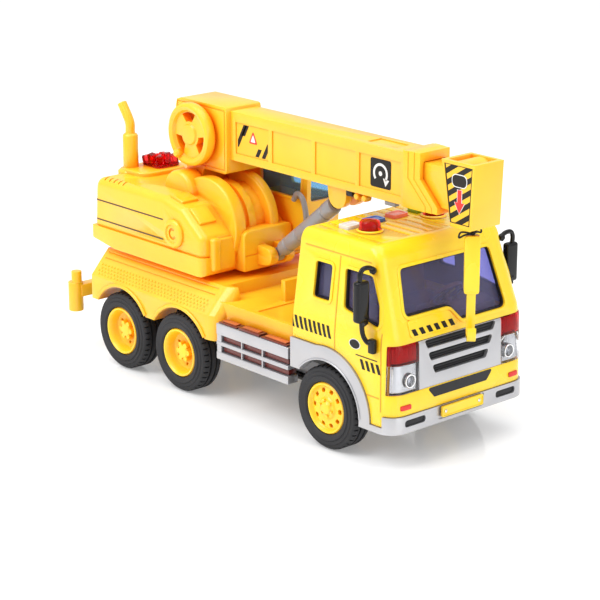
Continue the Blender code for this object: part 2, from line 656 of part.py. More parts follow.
def make_house(finishes):
    outline = rounded(
        [
            (-110, HOUSE_Z), (-27, HOUSE_Z), (-27, 91.5), (-46, 106), (-64, 110),
            (-129, 110), (-132, 79), (-132, 72.5),
        ],
        [0, 0, 4, 5, 5, 7, 0, 2], 3,
    )
    house = prism("turret_house", outline, -HOUSE_HALF, HOUSE_HALF, "Y", finishes["golden"])
    ledge = block("operator_ledge", (-60.3, 10), (OPERATOR_Y[0] - GAP, 60), (71.7, 140))
    cut(house, ledge)
    cheek = arc(CHEEK_CENTRE, CHEEK_R, -60, 120, 14)
    cheek += [(-80, 104), (-80, 90), (-45, 70)]
    drum = arc(CHEEK_CENTRE, DRUM_R, -60, 130, 10) + [(-70, 90), (-45, 70)]
    bracket = arc(BRACKET_CENTRE, BRACKET_R, 180, 0, 12) + [(-60, 100), (-86, 100)]
    for low, high in CHEEKS_Y:
        fuse(house, prism("cheek", cheek, low, high, "Y"))
    for low, high in BRACKETS_Y:
        fuse(house, prism("bracket", bracket, low, high, "Y"))
    fuse(house, prism("drum", drum, -14.5, 14.5, "Y"))
    lug_room = block("lug_room", (-79, -61), (-14.0, 14.0), (105.5, 130))
    pivot = (LUFF_PIVOT[0], 0, LUFF_PIVOT[1])
    pin_way = rod("pin_way", pivot, PIN_WAY_R, PIN_Y[0] - GAP, 30, "Y", steps=12)
    left, top = OPERATOR_Y[0] - GAP, FRONT_PLATE_TOP
    plate = rounded([(-19, HOUSE_Z), (left, HOUSE_Z), (left, top), (-19, top)], [0, 0, 3, 4])
    front_plate = prism("front_plate", plate, *FRONT_PLATE_X, "X")
    ears = [(-24, 71.5), (-13, 73.0)] + arc(RAM_FOOT, EAR_R, -90, 90, 6) + [(-24, 84)]
    foot_way = rod("foot_way", (RAM_FOOT[0], 0, RAM_FOOT[1]), 2.0, -2.9, 2.9, "Y", steps=12)
    fuse(house, front_plate)
    for low, high in ((-9.0, -3.2), (3.2, 9.0)):
        fuse(house, prism("ear", ears, low, high, "Y"))
    cut(house, lug_room, pin_way, foot_way)
    low, high = PLINTH_TOP + GAP, HOUSE_Z + 1
    turntable = rod("turntable", (SWIVEL_X, 0, 0), TURNTABLE_R, low, high, "Z", steps=32)
    post = rod("post", (SWIVEL_X, 0, 0), POST_R, 42, HOUSE_Z + 1, "Z")
    lamp_base = rod("lamp_base", (-116.5, -2.5, 0), 11.5, 108, 112.7, "Z", steps=20)
    fuse(house, turntable, post, lamp_base)
    return house


def make_operator_cab(finishes):
    corners = [(-60, 72), (-27, 72), (-24, 82), (-10, 84), (-8, 106), (-7, 131), (-60, 131)]
    radii = [0, 0, 3, 8, 0, 6, 5]
    low, high = OPERATOR_Y
    shell = prism("operator_cab", rounded(corners, radii, 3), low, high, "Y", finishes["golden"])
    wall = OPERATOR_WALL
    inner_corners = [
        (-58.2, 60), (-28.5, 60), (-25.5, 83.8), (-12, 85.8), (-9.8, 106), (-8.8, 129.2), (-58.2, 129.2),
    ]
    cut(shell, prism("operator_hollow", rounded(inner_corners, radii, 3), low + wall, high - wall, "Y"))
    side = rounded([(-48, 107.5), (-13.5, 107.5), (-12, 127), (-48, 127)], 2.0)
    front = rounded([(low + 3, 106), (high - 3, 106), (high - 3, 127), (low + 3, 127)], 2.0)
    cut(shell, prism("operator_side_way", side, 0, 60, "Y"), prism("operator_front_way", front, -16, 5, "X"))

    pane = rounded([(-57.9, 104), (-10.6, 104), (-9.4, 128.9), (-57.9, 128.9)], [0, 0, 7, 6], 3)
    behind_pane = rounded([(-56.9, 90), (-11.8, 90), (-10.6, 127.9), (-56.9, 127.9)], [0, 0, 6, 5], 3)
    glass = prism("operator_glazing", pane, low + wall + GAP, high - wall - GAP, "Y", finishes["sky"])
    inset = wall + GAP + 1.0
    cut(glass, prism("operator_glass_hollow", behind_pane, low + inset, high - inset, "Y"))

    rail_path = [(-16, 15.2, 107), (-12, 14.2, 111.5), (-6.5, 13.2, 110), (-3.5, 13, 103), (-3.5, 13.5, 95),
                 (-7, 15.0, 91), (-12, 15.4, 90)]
    rail = tube("grab_rail", rail_path, [1.6] * len(rail_path), finishes["grey"], 8)
    return shell, glass, rail


def make_exhaust(finishes):
    x, y = EXHAUST_FOOT
    path = [
        (x, y, 110.3), (x, y, 132.5), (x, y, 134.5), (x, y, 138.5), (x - 2.0, y, 142.5), (x - 7.5, y, 150.0),
    ]
    return tube("exhaust_stack", path, [4.8, 4.4, 3.0, 2.9, 2.8, 2.7], finishes["golden"], 12)


def make_turret(finishes):
    lamp = rounded([(-125.5, -10.5), (-107.5, -10.5), (-107.5, 5.5), (-125.5, 5.5)], 4.0)
    crystal = prism("engine_lamp", lamp, 113.0, 121.0, "Z", finishes["red"])
    return [make_house(finishes), *make_operator_cab(finishes), make_exhaust(finishes), crystal]


# ---------------------------------------------------------------- boom

def make_boom_outer(finishes):
    low, high = BOOM_Z
    beam_x = (WINCH_X[1] - 4, 104)
    boom = block("boom_outer", beam_x, (-BOOM_HALF, BOOM_HALF), BOOM_Z, finishes["golden"])
    winch = rounded(
        [
            (WINCH_X[0], WINCH_Z[0]), (WINCH_X[1], WINCH_Z[0]),
            (WINCH_X[1], WINCH_Z[1]), (WINCH_X[0], WINCH_Z[1]),
        ],
        [5, 2, 2, 5],
    )
    collar = [(99, low), (124.5, low), (124.5, 133.5), (111.5, 146.5), (111.5, COLLAR_TOP), (99, COLLAR_TOP)]
    fuse(boom, prism("winch_housing", winch, -WINCH_HALF, WINCH_HALF, "Y"))
    fuse(boom, prism("collar", collar, -BOOM_HALF - 1, BOOM_HALF + 1, "Y"))
    pivot_lug = arc(LUFF_PIVOT, 5.0, 180, 360, 8) + [(-60, 125), (-80, 125)]
    fuse(boom, prism("pivot_lug", pivot_lug, -LUG_HALF, LUG_HALF, "Y"))
    tongue = arc(LUG, 7.0, 180, 360, 8) + [(53, low + 1), (37, low + 1)]
    for y0, y1 in ((-7.5, -3.0), (3.0, 7.5)):
        fuse(boom, prism("tongue", tongue, y0, y1, "Y"))
    side = BOOM_HALF - BOOM_WALL
    bore = block("boom_bore", BORE_X, (-side, side), (low + 3.0, high - 3.0))
    room_x = (WINCH_X[0] + WINCH_WALL, WINCH_X[1] - WINCH_WALL)
    room_half = WINCH_HALF - WINCH_WALL
    winch_room = block("winch_room", room_x, (-room_half, room_half), (127, 156))
    string_slot = block("string_slot", (room_x[1] - 1, BORE_X[0] + 1), (-4, 4), (138, 150))
    drum_way = rod("drum_way", (HANDWHEEL[0], 0, HANDWHEEL[1]), 3.4, -20, 20, "Y", steps=14)
    pin = rod("luff_pin_way", (LUFF_PIVOT[0], 0, LUFF_PIVOT[1]), PIN_WAY_R, -30, 30, "Y", steps=12)
    cut(boom, winch_room, bore, string_slot, drum_way, pin)
    return boom


def make_boom_inner(finishes):
    low, high = BOOM_Z
    half = BOOM_HALF - BOOM_WALL - GAP
    inner = block("boom_inner", (20, 131), (-half, half), (low + 3.3, high - 3.3), finishes["golden"])
    head = [(134.0, 126.0), (148.5, 126.0), (HEAD_FRONT, COLLAR_TOP), (126.8, COLLAR_TOP)]
    fuse(inner, prism("head", head, -HEAD_HALF, HEAD_HALF, "Y"))
    room_side = HEAD_HALF - 2.2
    room = [(135.2, 128.2), (146.4, 128.2), (147.8, 170), (129.0, 170), (129.8, 156)]
    string_way = block("string_way", (137.5, 144.5), (-5, 5), (120, 130))
    pulley_pin_way = rod("pulley_pin_way", (PULLEY[0], 0, PULLEY[1]), 1.8, -10.0, 10.0, "Y", steps=12)
    lighten = block("inner_bore", (10, 123), (-half + 1.6, half - 1.6), (low + 5, high - 5))
    cut(inner, prism("head_room", room, -room_side, room_side, "Y"), string_way, pulley_pin_way, lighten)
    return inner


def make_hook(finishes):
    """A flat block on the string with a forged hook below it, turned about the vertical."""
    outer = arc(HOOK_BEND, HOOK_R[1], 180, 385, 12)
    inner = arc(HOOK_BEND, HOOK_R[0], 380, 180, 10)
    outline = outer + inner + [(2.0, 92), (-3.0, 92)]
    hook = prism("hook_block", outline, -2.3, 2.3, "Y", finishes["lemon"])
    top = prism("hook_top", rounded([(-4, 90), (4, 90), (4, 121), (-4, 121)], 1.5), -2.6, 2.6, "X")
    fuse(hook, top)
    turn = Matrix.Rotation(-math.pi / 2 + HOOK_YAW, 4, "Z")
    for piece in (hook, top):
        piece.matrix_world = Matrix.Translation(Vector((*HOOK_AT, 0)) * MM) @ turn
    string = tube("hoist_string", [(*HOOK_AT, 121.3), (*HOOK_AT, 158.0)], [0.6, 0.6], finishes["string"], 8)
    return hook, string


def make_ram(finishes):
    """Barrel on the turret and rod on the boom's tongue, built upright and then leaned over."""
    foot, lug = Vector((RAM_FOOT[0], 0, RAM_FOOT[1])), Vector((LUG[0], 0, LUG[1]))
    length = (lug - foot).length
    barrel = rod("ram_barrel", (0, 0, 0), RAM_R, 6, 62, "Z", finishes["grey"], 16)
    barrel_eye = rod("barrel_eye", (0, 0, 0), 3.9, -2.8, 2.8, "Y", steps=16)
    barrel_neck = block("barrel_neck", (-2.8, 2.8), (-2.8, 2.8), (0, 8))
    barrel_bore = rod("barrel_bore", (0, 0, 0), ROD_R + GAP, 10, 70, "Z", steps=12)
    fuse(barrel, barrel_eye, barrel_neck)
    cut(barrel, barrel_bore)
    piston = rod("ram_rod", (0, 0, 0), ROD_R, 12, length - 1, "Z", finishes["steel"], 12)
    rod_eye = rod("rod_eye", (0, 0, length), 3.2, -2.4, 2.4, "Y", steps=16)
    fuse(piston, rod_eye)
    lean = Matrix.Rotation(math.atan2(lug.x - foot.x, lug.z - foot.z), 4, "Y")
    for piece in (barrel, barrel_eye, barrel_neck, barrel_bore, piston, rod_eye):
        piece.matrix_world = Matrix.Translation(foot * MM) @ lean
    return barrel, piston


def make_handwheel(finishes):
    x, z = HANDWHEEL
    centre = (x, 0, z)
    rim = [(0, -21.5), (HANDWHEEL_R - 1, -21.5), (HANDWHEEL_R, -20.5), (HANDWHEEL_R, -15.5),
           (HANDWHEEL_R - 1, -14.6), (3.0, -14.6), (3.0, 12.5), (0, 12.5)]
    wheel = turned("handwheel", rim, centre, "Y", finishes["golden"], 32)
    knob_angle = math.radians(235)
    knob_at = (x + 14 * math.cos(knob_angle), 0, z + 14 * math.sin(knob_angle))
    knob = rod("crank_knob", knob_at, 2.6, -24.5, -20, "Y", steps=14)
    fuse(wheel, knob)
    for k in range(3):
        angle = math.radians(95 + 120 * k)
        opening = arc((x, z), 14.0, math.degrees(angle) - 30, math.degrees(angle) + 30, 5)
        opening += arc((x, z), 8.0, math.degrees(angle) + 24, math.degrees(angle) - 24, 3)
        cut(wheel, prism("wheel_opening", opening, -30, -14, "Y"))
    drum_profile = [(3.3, -9.5), (8.5, -9.5), (8.5, -8.3), (6.0, -8.3), (6.0, 8.3), (8.5, 8.3), (8.5, 9.5),
                    (3.3, 9.5)]
    drum = turned("winch_drum", drum_profile, centre, "Y", finishes["black"], 16)
    return wheel, drum


def make_moving_parts(finishes):
    """The turret and everything it carries, each body on its joint's axis."""
    turret = body("turret_body", (SWIVEL_X, 0, HOUSE_Z))
    attach(turret, *make_turret(finishes))
    barrel, piston = make_ram(finishes)
    ram = body("ram_body", (RAM_FOOT[0], 0, RAM_FOOT[1]), turret)
    attach(ram, barrel, piston)

    luff = body("boom_body", (LUFF_PIVOT[0], 0, LUFF_PIVOT[1]), turret)
    pin = rod("boom_pin", (LUFF_PIVOT[0], 0, LUFF_PIVOT[1]), PIN_R, *PIN_Y, "Y", finishes["steel"], 12)
    attach(luff, make_boom_outer(finishes), pin)
    winch = body("winch_body", (HANDWHEEL[0], 0, HANDWHEEL[1]), luff)
    attach(winch, *make_handwheel(finishes))

    extension = body("extension_body", (HEAD_FRONT, 0, BOOM_Z[0]), luff)
    attach(extension, make_boom_inner(finishes))
    sheave = body("pulley_body", (PULLEY[0], 0, PULLEY[1]), extension)
    profile = [(0, -8.3), (1.5, -8.3), (1.5, -4.2), (5.0, -4.2), (3.8, -2.4), (3.8, -0.6), (5.0, 1.2),
               (1.5, 1.2), (1.5, 8.3), (0, 8.3)]
    pulley = turned("head_pulley", profile, (PULLEY[0], 0, PULLEY[1]), "Y", finishes["lemon"], 18)
    attach(sheave, pulley)
    hoist = body("hook_body", (*HOOK_AT, 121), extension)
    attach(hoist, *make_hook(finishes))


def main():
    for old in list(bpy.data.objects):
        bpy.data.objects.remove(old, do_unlink=True)
    finishes = make_materials()
    make_chassis(finishes)
    for side, word in ((-1, "right"), (1, "left")):
        make_rack(side, f"side_rack_{word}", finishes)
        make_mirror(side, f"mirror_{word}", finishes["black"])
        slide = body(f"stabiliser_{word}_body", (STABILISER_X, side * STABILISER_Y, 36))
        attach(slide, make_stabiliser(side, f"stabiliser_{word}", finishes))
    make_wheels(finishes)
    make_cab(finishes)
    make_skirt(finishes)
    make_front(finishes)
    make_roof_parts(finishes)
    make_moving_parts(finishes)


main()
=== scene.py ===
"""Looks of the toy crane truck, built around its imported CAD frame.

+X points to the cab, +Y to the truck's left, +Z up. Lengths are in millimetres until a mesh is
made, and metres in Blender.
"""
import math
import random

import bmesh
import bpy
from mathutils import Matrix, Vector


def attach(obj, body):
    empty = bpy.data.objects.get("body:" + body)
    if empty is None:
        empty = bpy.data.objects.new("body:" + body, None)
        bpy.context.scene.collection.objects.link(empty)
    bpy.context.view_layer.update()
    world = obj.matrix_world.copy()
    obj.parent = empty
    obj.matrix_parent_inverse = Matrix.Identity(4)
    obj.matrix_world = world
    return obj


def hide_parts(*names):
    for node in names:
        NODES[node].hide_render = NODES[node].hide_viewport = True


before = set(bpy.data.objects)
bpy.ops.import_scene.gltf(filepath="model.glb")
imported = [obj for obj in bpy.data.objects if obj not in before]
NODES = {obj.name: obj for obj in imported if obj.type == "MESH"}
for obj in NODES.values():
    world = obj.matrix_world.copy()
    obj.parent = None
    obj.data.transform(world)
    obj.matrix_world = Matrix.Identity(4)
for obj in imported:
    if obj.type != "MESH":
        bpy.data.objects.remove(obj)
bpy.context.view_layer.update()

MM = 0.001

# Camera, placed by where it looks from
LOOK_AT = (6.36, 0.0, 54.97)
AZIMUTH, ELEVATION, DISTANCE = 48.22, 17.107, 1176.7
LENS, SENSOR = 123.95, 36.0

# The CAD's own places that the details repeat
AXLE_X = {"front": 83.9, "middle": -40.7, "rear": -95.0}
AXLE_Z, TYRE_R, ARCH_R = 23.0, 23.0, 27.0
# Height, rear x, front x, half width and corner radius of the cab's sections
CAB_LOW = [(24.0, 56.5, 134.0, 51.0, 11.0), (66.0, 56.5, 132.8, 50.6, 11.0), (72.0, 56.5, 131.0, 50.0, 9.0)]
CAB_WAIST = (107.0, 57.0, 119.0, 45.4, 6.0)
CAB_ROOF = (116.5, 59.5, 112.0, 41.8, 5.0)
CAB_WALL = 2.4
LAMP_BAND, LAMP_SPLIT, LAMP_REAR_X, GRILLE_HALF = (41.5, 68.0), 57.4, 128.0, 31.0
SKIRT_SIDE, SKIRT_TOP, BUMPER_Z = 51.9, 56.7, (20.3, 29.7)
LUFF = (-70.0, 115.0)
WHEEL_AT = (-67.0, 142.0)
RAM_FOOT, RAM_LUG = (-13.0, 78.0), (45.0, 124.5)
HOOK_AT = (141.0, -1.5)
RIGHT, LEFT = -1, 1
SIDES = ((RIGHT, "right"), (LEFT, "left"))
WHEEL_TRACK = 45.0
BEACON_AT = (88.0, 23.7)
HEADLAMP_AT = (37.2, 48.0)
EXHAUST_AT = (-126.0, -18.0)
TURNTABLE_X = -68.0
FLOOR_HALF, FLOOR_DROP = 9000.0, -0.3


# ---------------------------------------------------------------- mesh helpers

def linked(name, data):
    """A new object in the scene that shows the data."""
    made = bpy.data.objects.new(name, data)
    bpy.context.scene.collection.objects.link(made)
    return made


def piece(name, points, faces):
    """A mesh object from points in millimetres, its faces turned outwards."""
    work = bmesh.new()
    corners = [work.verts.new(Vector(point) * MM) for point in points]
    for face in faces:
        work.faces.new([corners[i] for i in face])
    bmesh.ops.recalc_face_normals(work, faces=work.faces)
    mesh = bpy.data.meshes.new(name)
    work.to_mesh(mesh)
    work.free()
    return linked(name, mesh)


def place(axis, u, v, along):
    return {"X": (along, u, v), "Y": (u, along, v), "Z": (u, v, along)}[axis]


def span(side, near, far):
    """The Y limits of a shape that reaches from near to far on one side, the lower one first."""
    return sorted((side * near, side * far))


def loft(name, rings):
    """A skin through rings of equal length, capped at both ends."""
    count = len(rings[0])
    points = [point for ring in rings for point in ring]
    last = count * (len(rings) - 1)
    faces = [list(range(count)), list(range(last, last + count))]
    for k in range(len(rings) - 1):
        low, high = k * count, (k + 1) * count
        for i in range(count):
            j = (i + 1) % count
            faces.append([low + i, low + j, high + j, high + i])
    return piece(name, points, faces)


def prism(name, outline, low, high, axis):
    return loft(name, [[place(axis, u, v, along) for u, v in outline] for along in (low, high)])


def block(name, x, y, z):
    return prism(name, [(x[0], y[0]), (x[1], y[0]), (x[1], y[1]), (x[0], y[1])], z[0], z[1], "Z")


def turned(name, profile, centre, axis, steps=48):
    """A closed (radius, along) profile turned about a line; a zero radius makes a pole."""
    points, rows = [], []
    for radius, along in profile:
        turns = 1 if radius == 0 else steps
        rows.append(range(len(points), len(points) + turns))
        for k in range(turns):
            angle = 2 * math.pi * k / steps
            offset = place(axis, radius * math.cos(angle), radius * math.sin(angle), along)
            points.append([c + o for c, o in zip(centre, offset)])
    pairs = list(zip(rows, rows[1:]))
    if len(rows[0]) > 1:
        pairs.append((rows[-1], rows[0]))
    faces = []
    for a, b in pairs:
        for k in range(steps):
            n = (k + 1) % steps
            corners = [a[k % len(a)], a[n % len(a)], b[n % len(b)], b[k % len(b)]]
            faces.append(list(dict.fromkeys(corners)))
    return piece(name, points, faces)


def rod(name, centre, radius, low, high, axis, steps=32):
    return turned(name, [(0, low), (radius, low), (radius, high), (0, high)], centre, axis, steps)


def arc(centre, radius, start, end, steps):
    points = []
    for k in range(steps + 1):
        angle = math.radians(start + (end - start) * k / steps)
        points.append((centre[0] + radius * math.cos(angle), centre[1] + radius * math.sin(angle)))
    return points


def rounded(corners, radius, steps=6):
    """The outline with rounded corners; radius is one number or one for each corner."""
    radii = [radius] * len(corners) if isinstance(radius, (int, float)) else radius
    points = []
    for i, corner in enumerate(corners):
        here = Vector(corner)
        before = Vector(corners[i - 1]) - here
        after = Vector(corners[(i + 1) % len(corners)]) - here
        if radii[i] == 0:
            points.append(tuple(here))
            continue
        half = before.angle(after) / 2
        reach = min(radii[i] / math.tan(half), before.length * 0.49, after.length * 0.49)
        start, end = here + before.normalized() * reach, here + after.normalized() * reach
        for k in range(steps + 1):
            t = k / steps
            points.append(tuple(start * (1 - t) ** 2 + here * 2 * t * (1 - t) + end * t ** 2))
    return points


def oblong(low, high, radius, steps=6):
    """A rounded rectangle between two (u, v) corners."""
    return rounded([(low[0], low[1]), (high[0], low[1]), (high[0], high[1]), (low[0], high[1])], radius,
                   steps)


def grown(outline, amount):
    """The outline moved outwards by amount, for a convex or gently bent shape."""
    area = sum(a[0] * b[1] - b[0] * a[1] for a, b in zip(outline, outline[1:] + outline[:1]))
    turn = 1 if area > 0 else -1
    moved = []
    for i, here in enumerate(outline):
        before, after = Vector(outline[i - 1]), Vector(outline[(i + 1) % len(outline)])
        along = (after - before).normalized()
        moved.append((here[0] + along.y * amount * turn, here[1] - along.x * amount * turn))
    return moved


def smooth_path(points, per_span=6):
    """A Catmull-Rom curve through the points."""
    p = [Vector(q) for q in points]
    p = [p[0] * 2 - p[1], *p, p[-1] * 2 - p[-2]]
    path = []
    for a, b, c, d in zip(p, p[1:], p[2:], p[3:]):
        for k in range(per_span):
            t = k / per_span
            path.append((b * 2 + (c - a) * t + (a * 2 - b * 5 + c * 4 - d) * t ** 2
                         + (b * 3 - a - c * 3 + d) * t ** 3) / 2 )
    return path + [p[-2]]


def tube(name, path, radii, sides=16, bore=0.0):
    """A round bar along the path; bore hollows its far end to show a mouth."""
    path = [Vector(q) for q in path]
    radii = [radii] * len(path) if isinstance(radii, (int, float)) else radii
    rings, side = [], None
    for i, point in enumerate(path):
        ahead = (path[min(i + 1, len(path) - 1)] - path[max(i - 1, 0)]).normalized()
        side = ahead.orthogonal().normalized() if side is None else (side
                                                                     - ahead * side.dot(ahead)).normalized()
        across = ahead.cross(side)
        spokes = [side * math.cos(2 * math.pi * k / sides) + across * math.sin(2 * math.pi * k / sides)
                  for k in range(sides)]
        rings.append([point + spoke * radii[i] for spoke in spokes])
    if bore:
        rings.append([path[-1] + spoke * bore for spoke in spokes])
        rings.append([path[-1] - ahead * bore * 2 + spoke * bore for spoke in spokes])
    return loft(name, rings)


def baked(obj):
    """Replace obj's mesh by its evaluated one and drop its modifiers."""
    bpy.context.view_layer.update()
    depsgraph = bpy.context.evaluated_depsgraph_get()
    mesh = bpy.data.meshes.new_from_object(obj.evaluated_get(depsgraph), depsgraph=depsgraph)
    obj.modifiers.clear()
    obj.data = mesh
    return obj


def combine(target, operation, tools):
    """Join, cut or keep with the tools, which are used up."""
    for tool in tools:
        step = target.modifiers.new(operation, "BOOLEAN")
        step.operation, step.object = operation, tool
    baked(target)
    for tool in tools:
        bpy.data.objects.remove(tool, do_unlink=True)
    return target


def fuse(target, *tools):
    return combine(target, "UNION", tools)


def cut(target, *tools):
    return combine(target, "DIFFERENCE", tools)


def keep(target, *tools):
    return combine(target, "INTERSECT", tools)


def cleaned(obj):
    """Weld the mesh and merge its flat triangles, so that a bevel runs evenly along its edges."""
    work = bmesh.new()
    work.from_mesh(obj.data)
    bmesh.ops.remove_doubles(work, verts=work.verts, dist=0.02 * MM)
    bmesh.ops.dissolve_limit(work, angle_limit=math.radians(0.6), verts=work.verts, edges=work.edges)
    work.to_mesh(obj.data)
    work.free()
    return obj


def from_node(name, node):
    """A new piece that starts as a copy of a CAD node's own shape."""
    made = linked(name, NODES[node].data.copy())
    made.data.materials.clear()
    return cleaned(made)


def soften(obj, width=0.5, segments=2, angle=35):
    """Round the sharp edges and shade the result smoothly."""
    if width:
        step = obj.modifiers.new("edges", "BEVEL")
        step.width, step.segments = width * MM, segments
        step.limit_method, step.angle_limit = "ANGLE", math.radians(angle)
        step.use_clamp_overlap = True
        step.miter_outer = "MITER_ARC"
        baked(obj)
    obj.data.shade_smooth()
    obj.data.set_sharp_from_angle(angle=math.radians(38))
    return obj


def shown(obj, look, body, stands_for=()):
    """Give the piece its finish and its body, and hide what it stands for."""
    obj.data.materials.clear()
    obj.data.materials.append(FINISH[look])
    for polygon in obj.data.polygons:
        polygon.material_index = 0
    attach(obj, body)
    if stands_for:
        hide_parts(*([stands_for] if isinstance(stands_for, str) else stands_for))
    return obj


def joined(name, objects):
    """One object from several, each kept as its own closed shell."""
    work = bmesh.new()
    for obj in objects:
        mesh = obj.data.copy()
        mesh.transform(obj.matrix_world)
        work.from_mesh(mesh)
    mesh = bpy.data.meshes.new(name)
    work.to_mesh(mesh)
    work.free()
    for obj in objects:
        bpy.data.objects.remove(obj, do_unlink=True)
    return linked(name, mesh)


def group(name, parts, width, look, body, stands_for=()):
    """The parts as one softened piece with its finish and its body."""
    return shown(soften(joined(name, parts), width), look, body, stands_for)


def moved(obj, to=(0, 0, 0), turn=0.0, axis="Z"):
    """Turn the mesh about its origin and then move it, in millimetres."""
    obj.data.transform(Matrix.Translation(Vector(to) * MM) @ Matrix.Rotation(math.radians(turn), 4, axis))
    return obj


# ---------------------------------------------------------------- materials

def nodes_of(name):
    material = bpy.data.materials.new(name)
    material.use_nodes = True
    tree = material.node_tree
    return material, tree, tree.nodes["Principled BSDF"]


def add(tree, kind, inputs=None, **settings):
    node = tree.nodes.new(kind)
    for key, value in settings.items():
        setattr(node, key, value)
    for key, value in (inputs or {}).items():
        node.inputs[key].default_value = value
    return node


def wire(tree, source, output, target, socket):
    tree.links.new(source.outputs[output], target.inputs[socket])


def moulded(name, colour, roughness=0.3, deep=None, grain=0.06, grain_scale=1400.0, metallic=0.0,
            coat=0.0, scatter=0.0, spread=0.06, shine=0.5):
    """Moulded plastic: a cloudy tone, a slightly uneven gloss, a fine skin texture and painted shade in
    corners, in the deep colour.
    """
    material, tree, shader = nodes_of(name)
    where = add(tree, "ShaderNodeTexCoord")
    cloud = add(tree, "ShaderNodeTexNoise", {"Scale": 38.0, "Detail": 3.0})
    wire(tree, where, "Object", cloud, "Vector")
    tone = add(tree, "ShaderNodeValToRGB")
    tone.color_ramp.elements[0].position, tone.color_ramp.elements[1].position = 0.3, 0.7
    tone.color_ramp.elements[0].color = (*[c * (1 - spread) for c in colour], 1)
    tone.color_ramp.elements[1].color = (*[min(1.0, c * (1 + spread)) for c in colour], 1)
    wire(tree, cloud, "Fac", tone, "Fac")
    # Painted shade: where ambient occlusion finds corners, creases and gaps between parts, the colour turns
    # towards deep, the painted shade colour (by default the colour at 70 %).
    corner = add(tree, "ShaderNodeAmbientOcclusion", {"Distance": 0.012}, samples=6)
    painted_shade_ramp = add(tree, "ShaderNodeMapRange", {"From Min": 0.25, "From Max": 0.85})
    wire(tree, corner, "AO", painted_shade_ramp, "Value")
    mix = add(tree, "ShaderNodeMix", data_type="RGBA")
    mix.inputs["A"].default_value = (*(deep or [c * 0.7 for c in colour]), 1)
    wire(tree, painted_shade_ramp, "Result", mix, "Factor")
    wire(tree, tone, "Color", mix, "B")
    wire(tree, mix, "Result", shader, "Base Color")
    gloss = add(tree, "ShaderNodeMapRange", {"To Min": roughness * 0.85, "To Max": roughness * 1.2})
    wire(tree, cloud, "Fac", gloss, "Value")
    wire(tree, gloss, "Result", shader, "Roughness")
    skin = add(tree, "ShaderNodeTexNoise", {"Scale": grain_scale, "Detail": 2.0})
    wire(tree, where, "Object", skin, "Vector")
    bump = add(tree, "ShaderNodeBump", {"Strength": grain, "Distance": 0.0004})
    wire(tree, skin, "Fac", bump, "Height")
    wire(tree, bump, "Normal", shader, "Normal")
    shader.inputs["Metallic"].default_value = metallic
    shader.inputs["Specular IOR Level"].default_value = shine
    shader.inputs["Coat Weight"].default_value = coat
    shader.inputs["Coat Roughness"].default_value = 0.08
    if scatter:
        shader.inputs["Subsurface Weight"].default_value = scatter
        shader.inputs["Subsurface Radius"].default_value = (1.0, 0.35, 0.05)
        shader.inputs["Subsurface Scale"].default_value = 0.004
    return material


def clear(name, colour, roughness=0.05, ribs=0.0, haze=0.0):
    """Tinted see-through plastic, faintly uneven."""
    material, tree, shader = nodes_of(name)
    where = add(tree, "ShaderNodeTexCoord")
    wave = add(tree, "ShaderNodeTexNoise", {"Scale": 60.0, "Detail": 2.0})
    wire(tree, where, "Object", wave, "Vector")
    tone = add(tree, "ShaderNodeValToRGB")
    tone.color_ramp.elements[0].color = (*[c * 0.88 for c in colour], 1)
    tone.color_ramp.elements[1].color = (*colour, 1)
    wire(tree, wave, "Fac", tone, "Fac")
    wire(tree, tone, "Color", shader, "Base Color")
    bump = add(tree, "ShaderNodeBump", {"Strength": 0.06 + ribs, "Distance": 0.0005})
    wire(tree, wave, "Fac", bump, "Height")
    wire(tree, bump, "Normal", shader, "Normal")
    shader.inputs["Roughness"].default_value = roughness
    shader.inputs["Transmission Weight"].default_value = 1.0 - haze
    shader.inputs["IOR"].default_value = 1.3
    return material
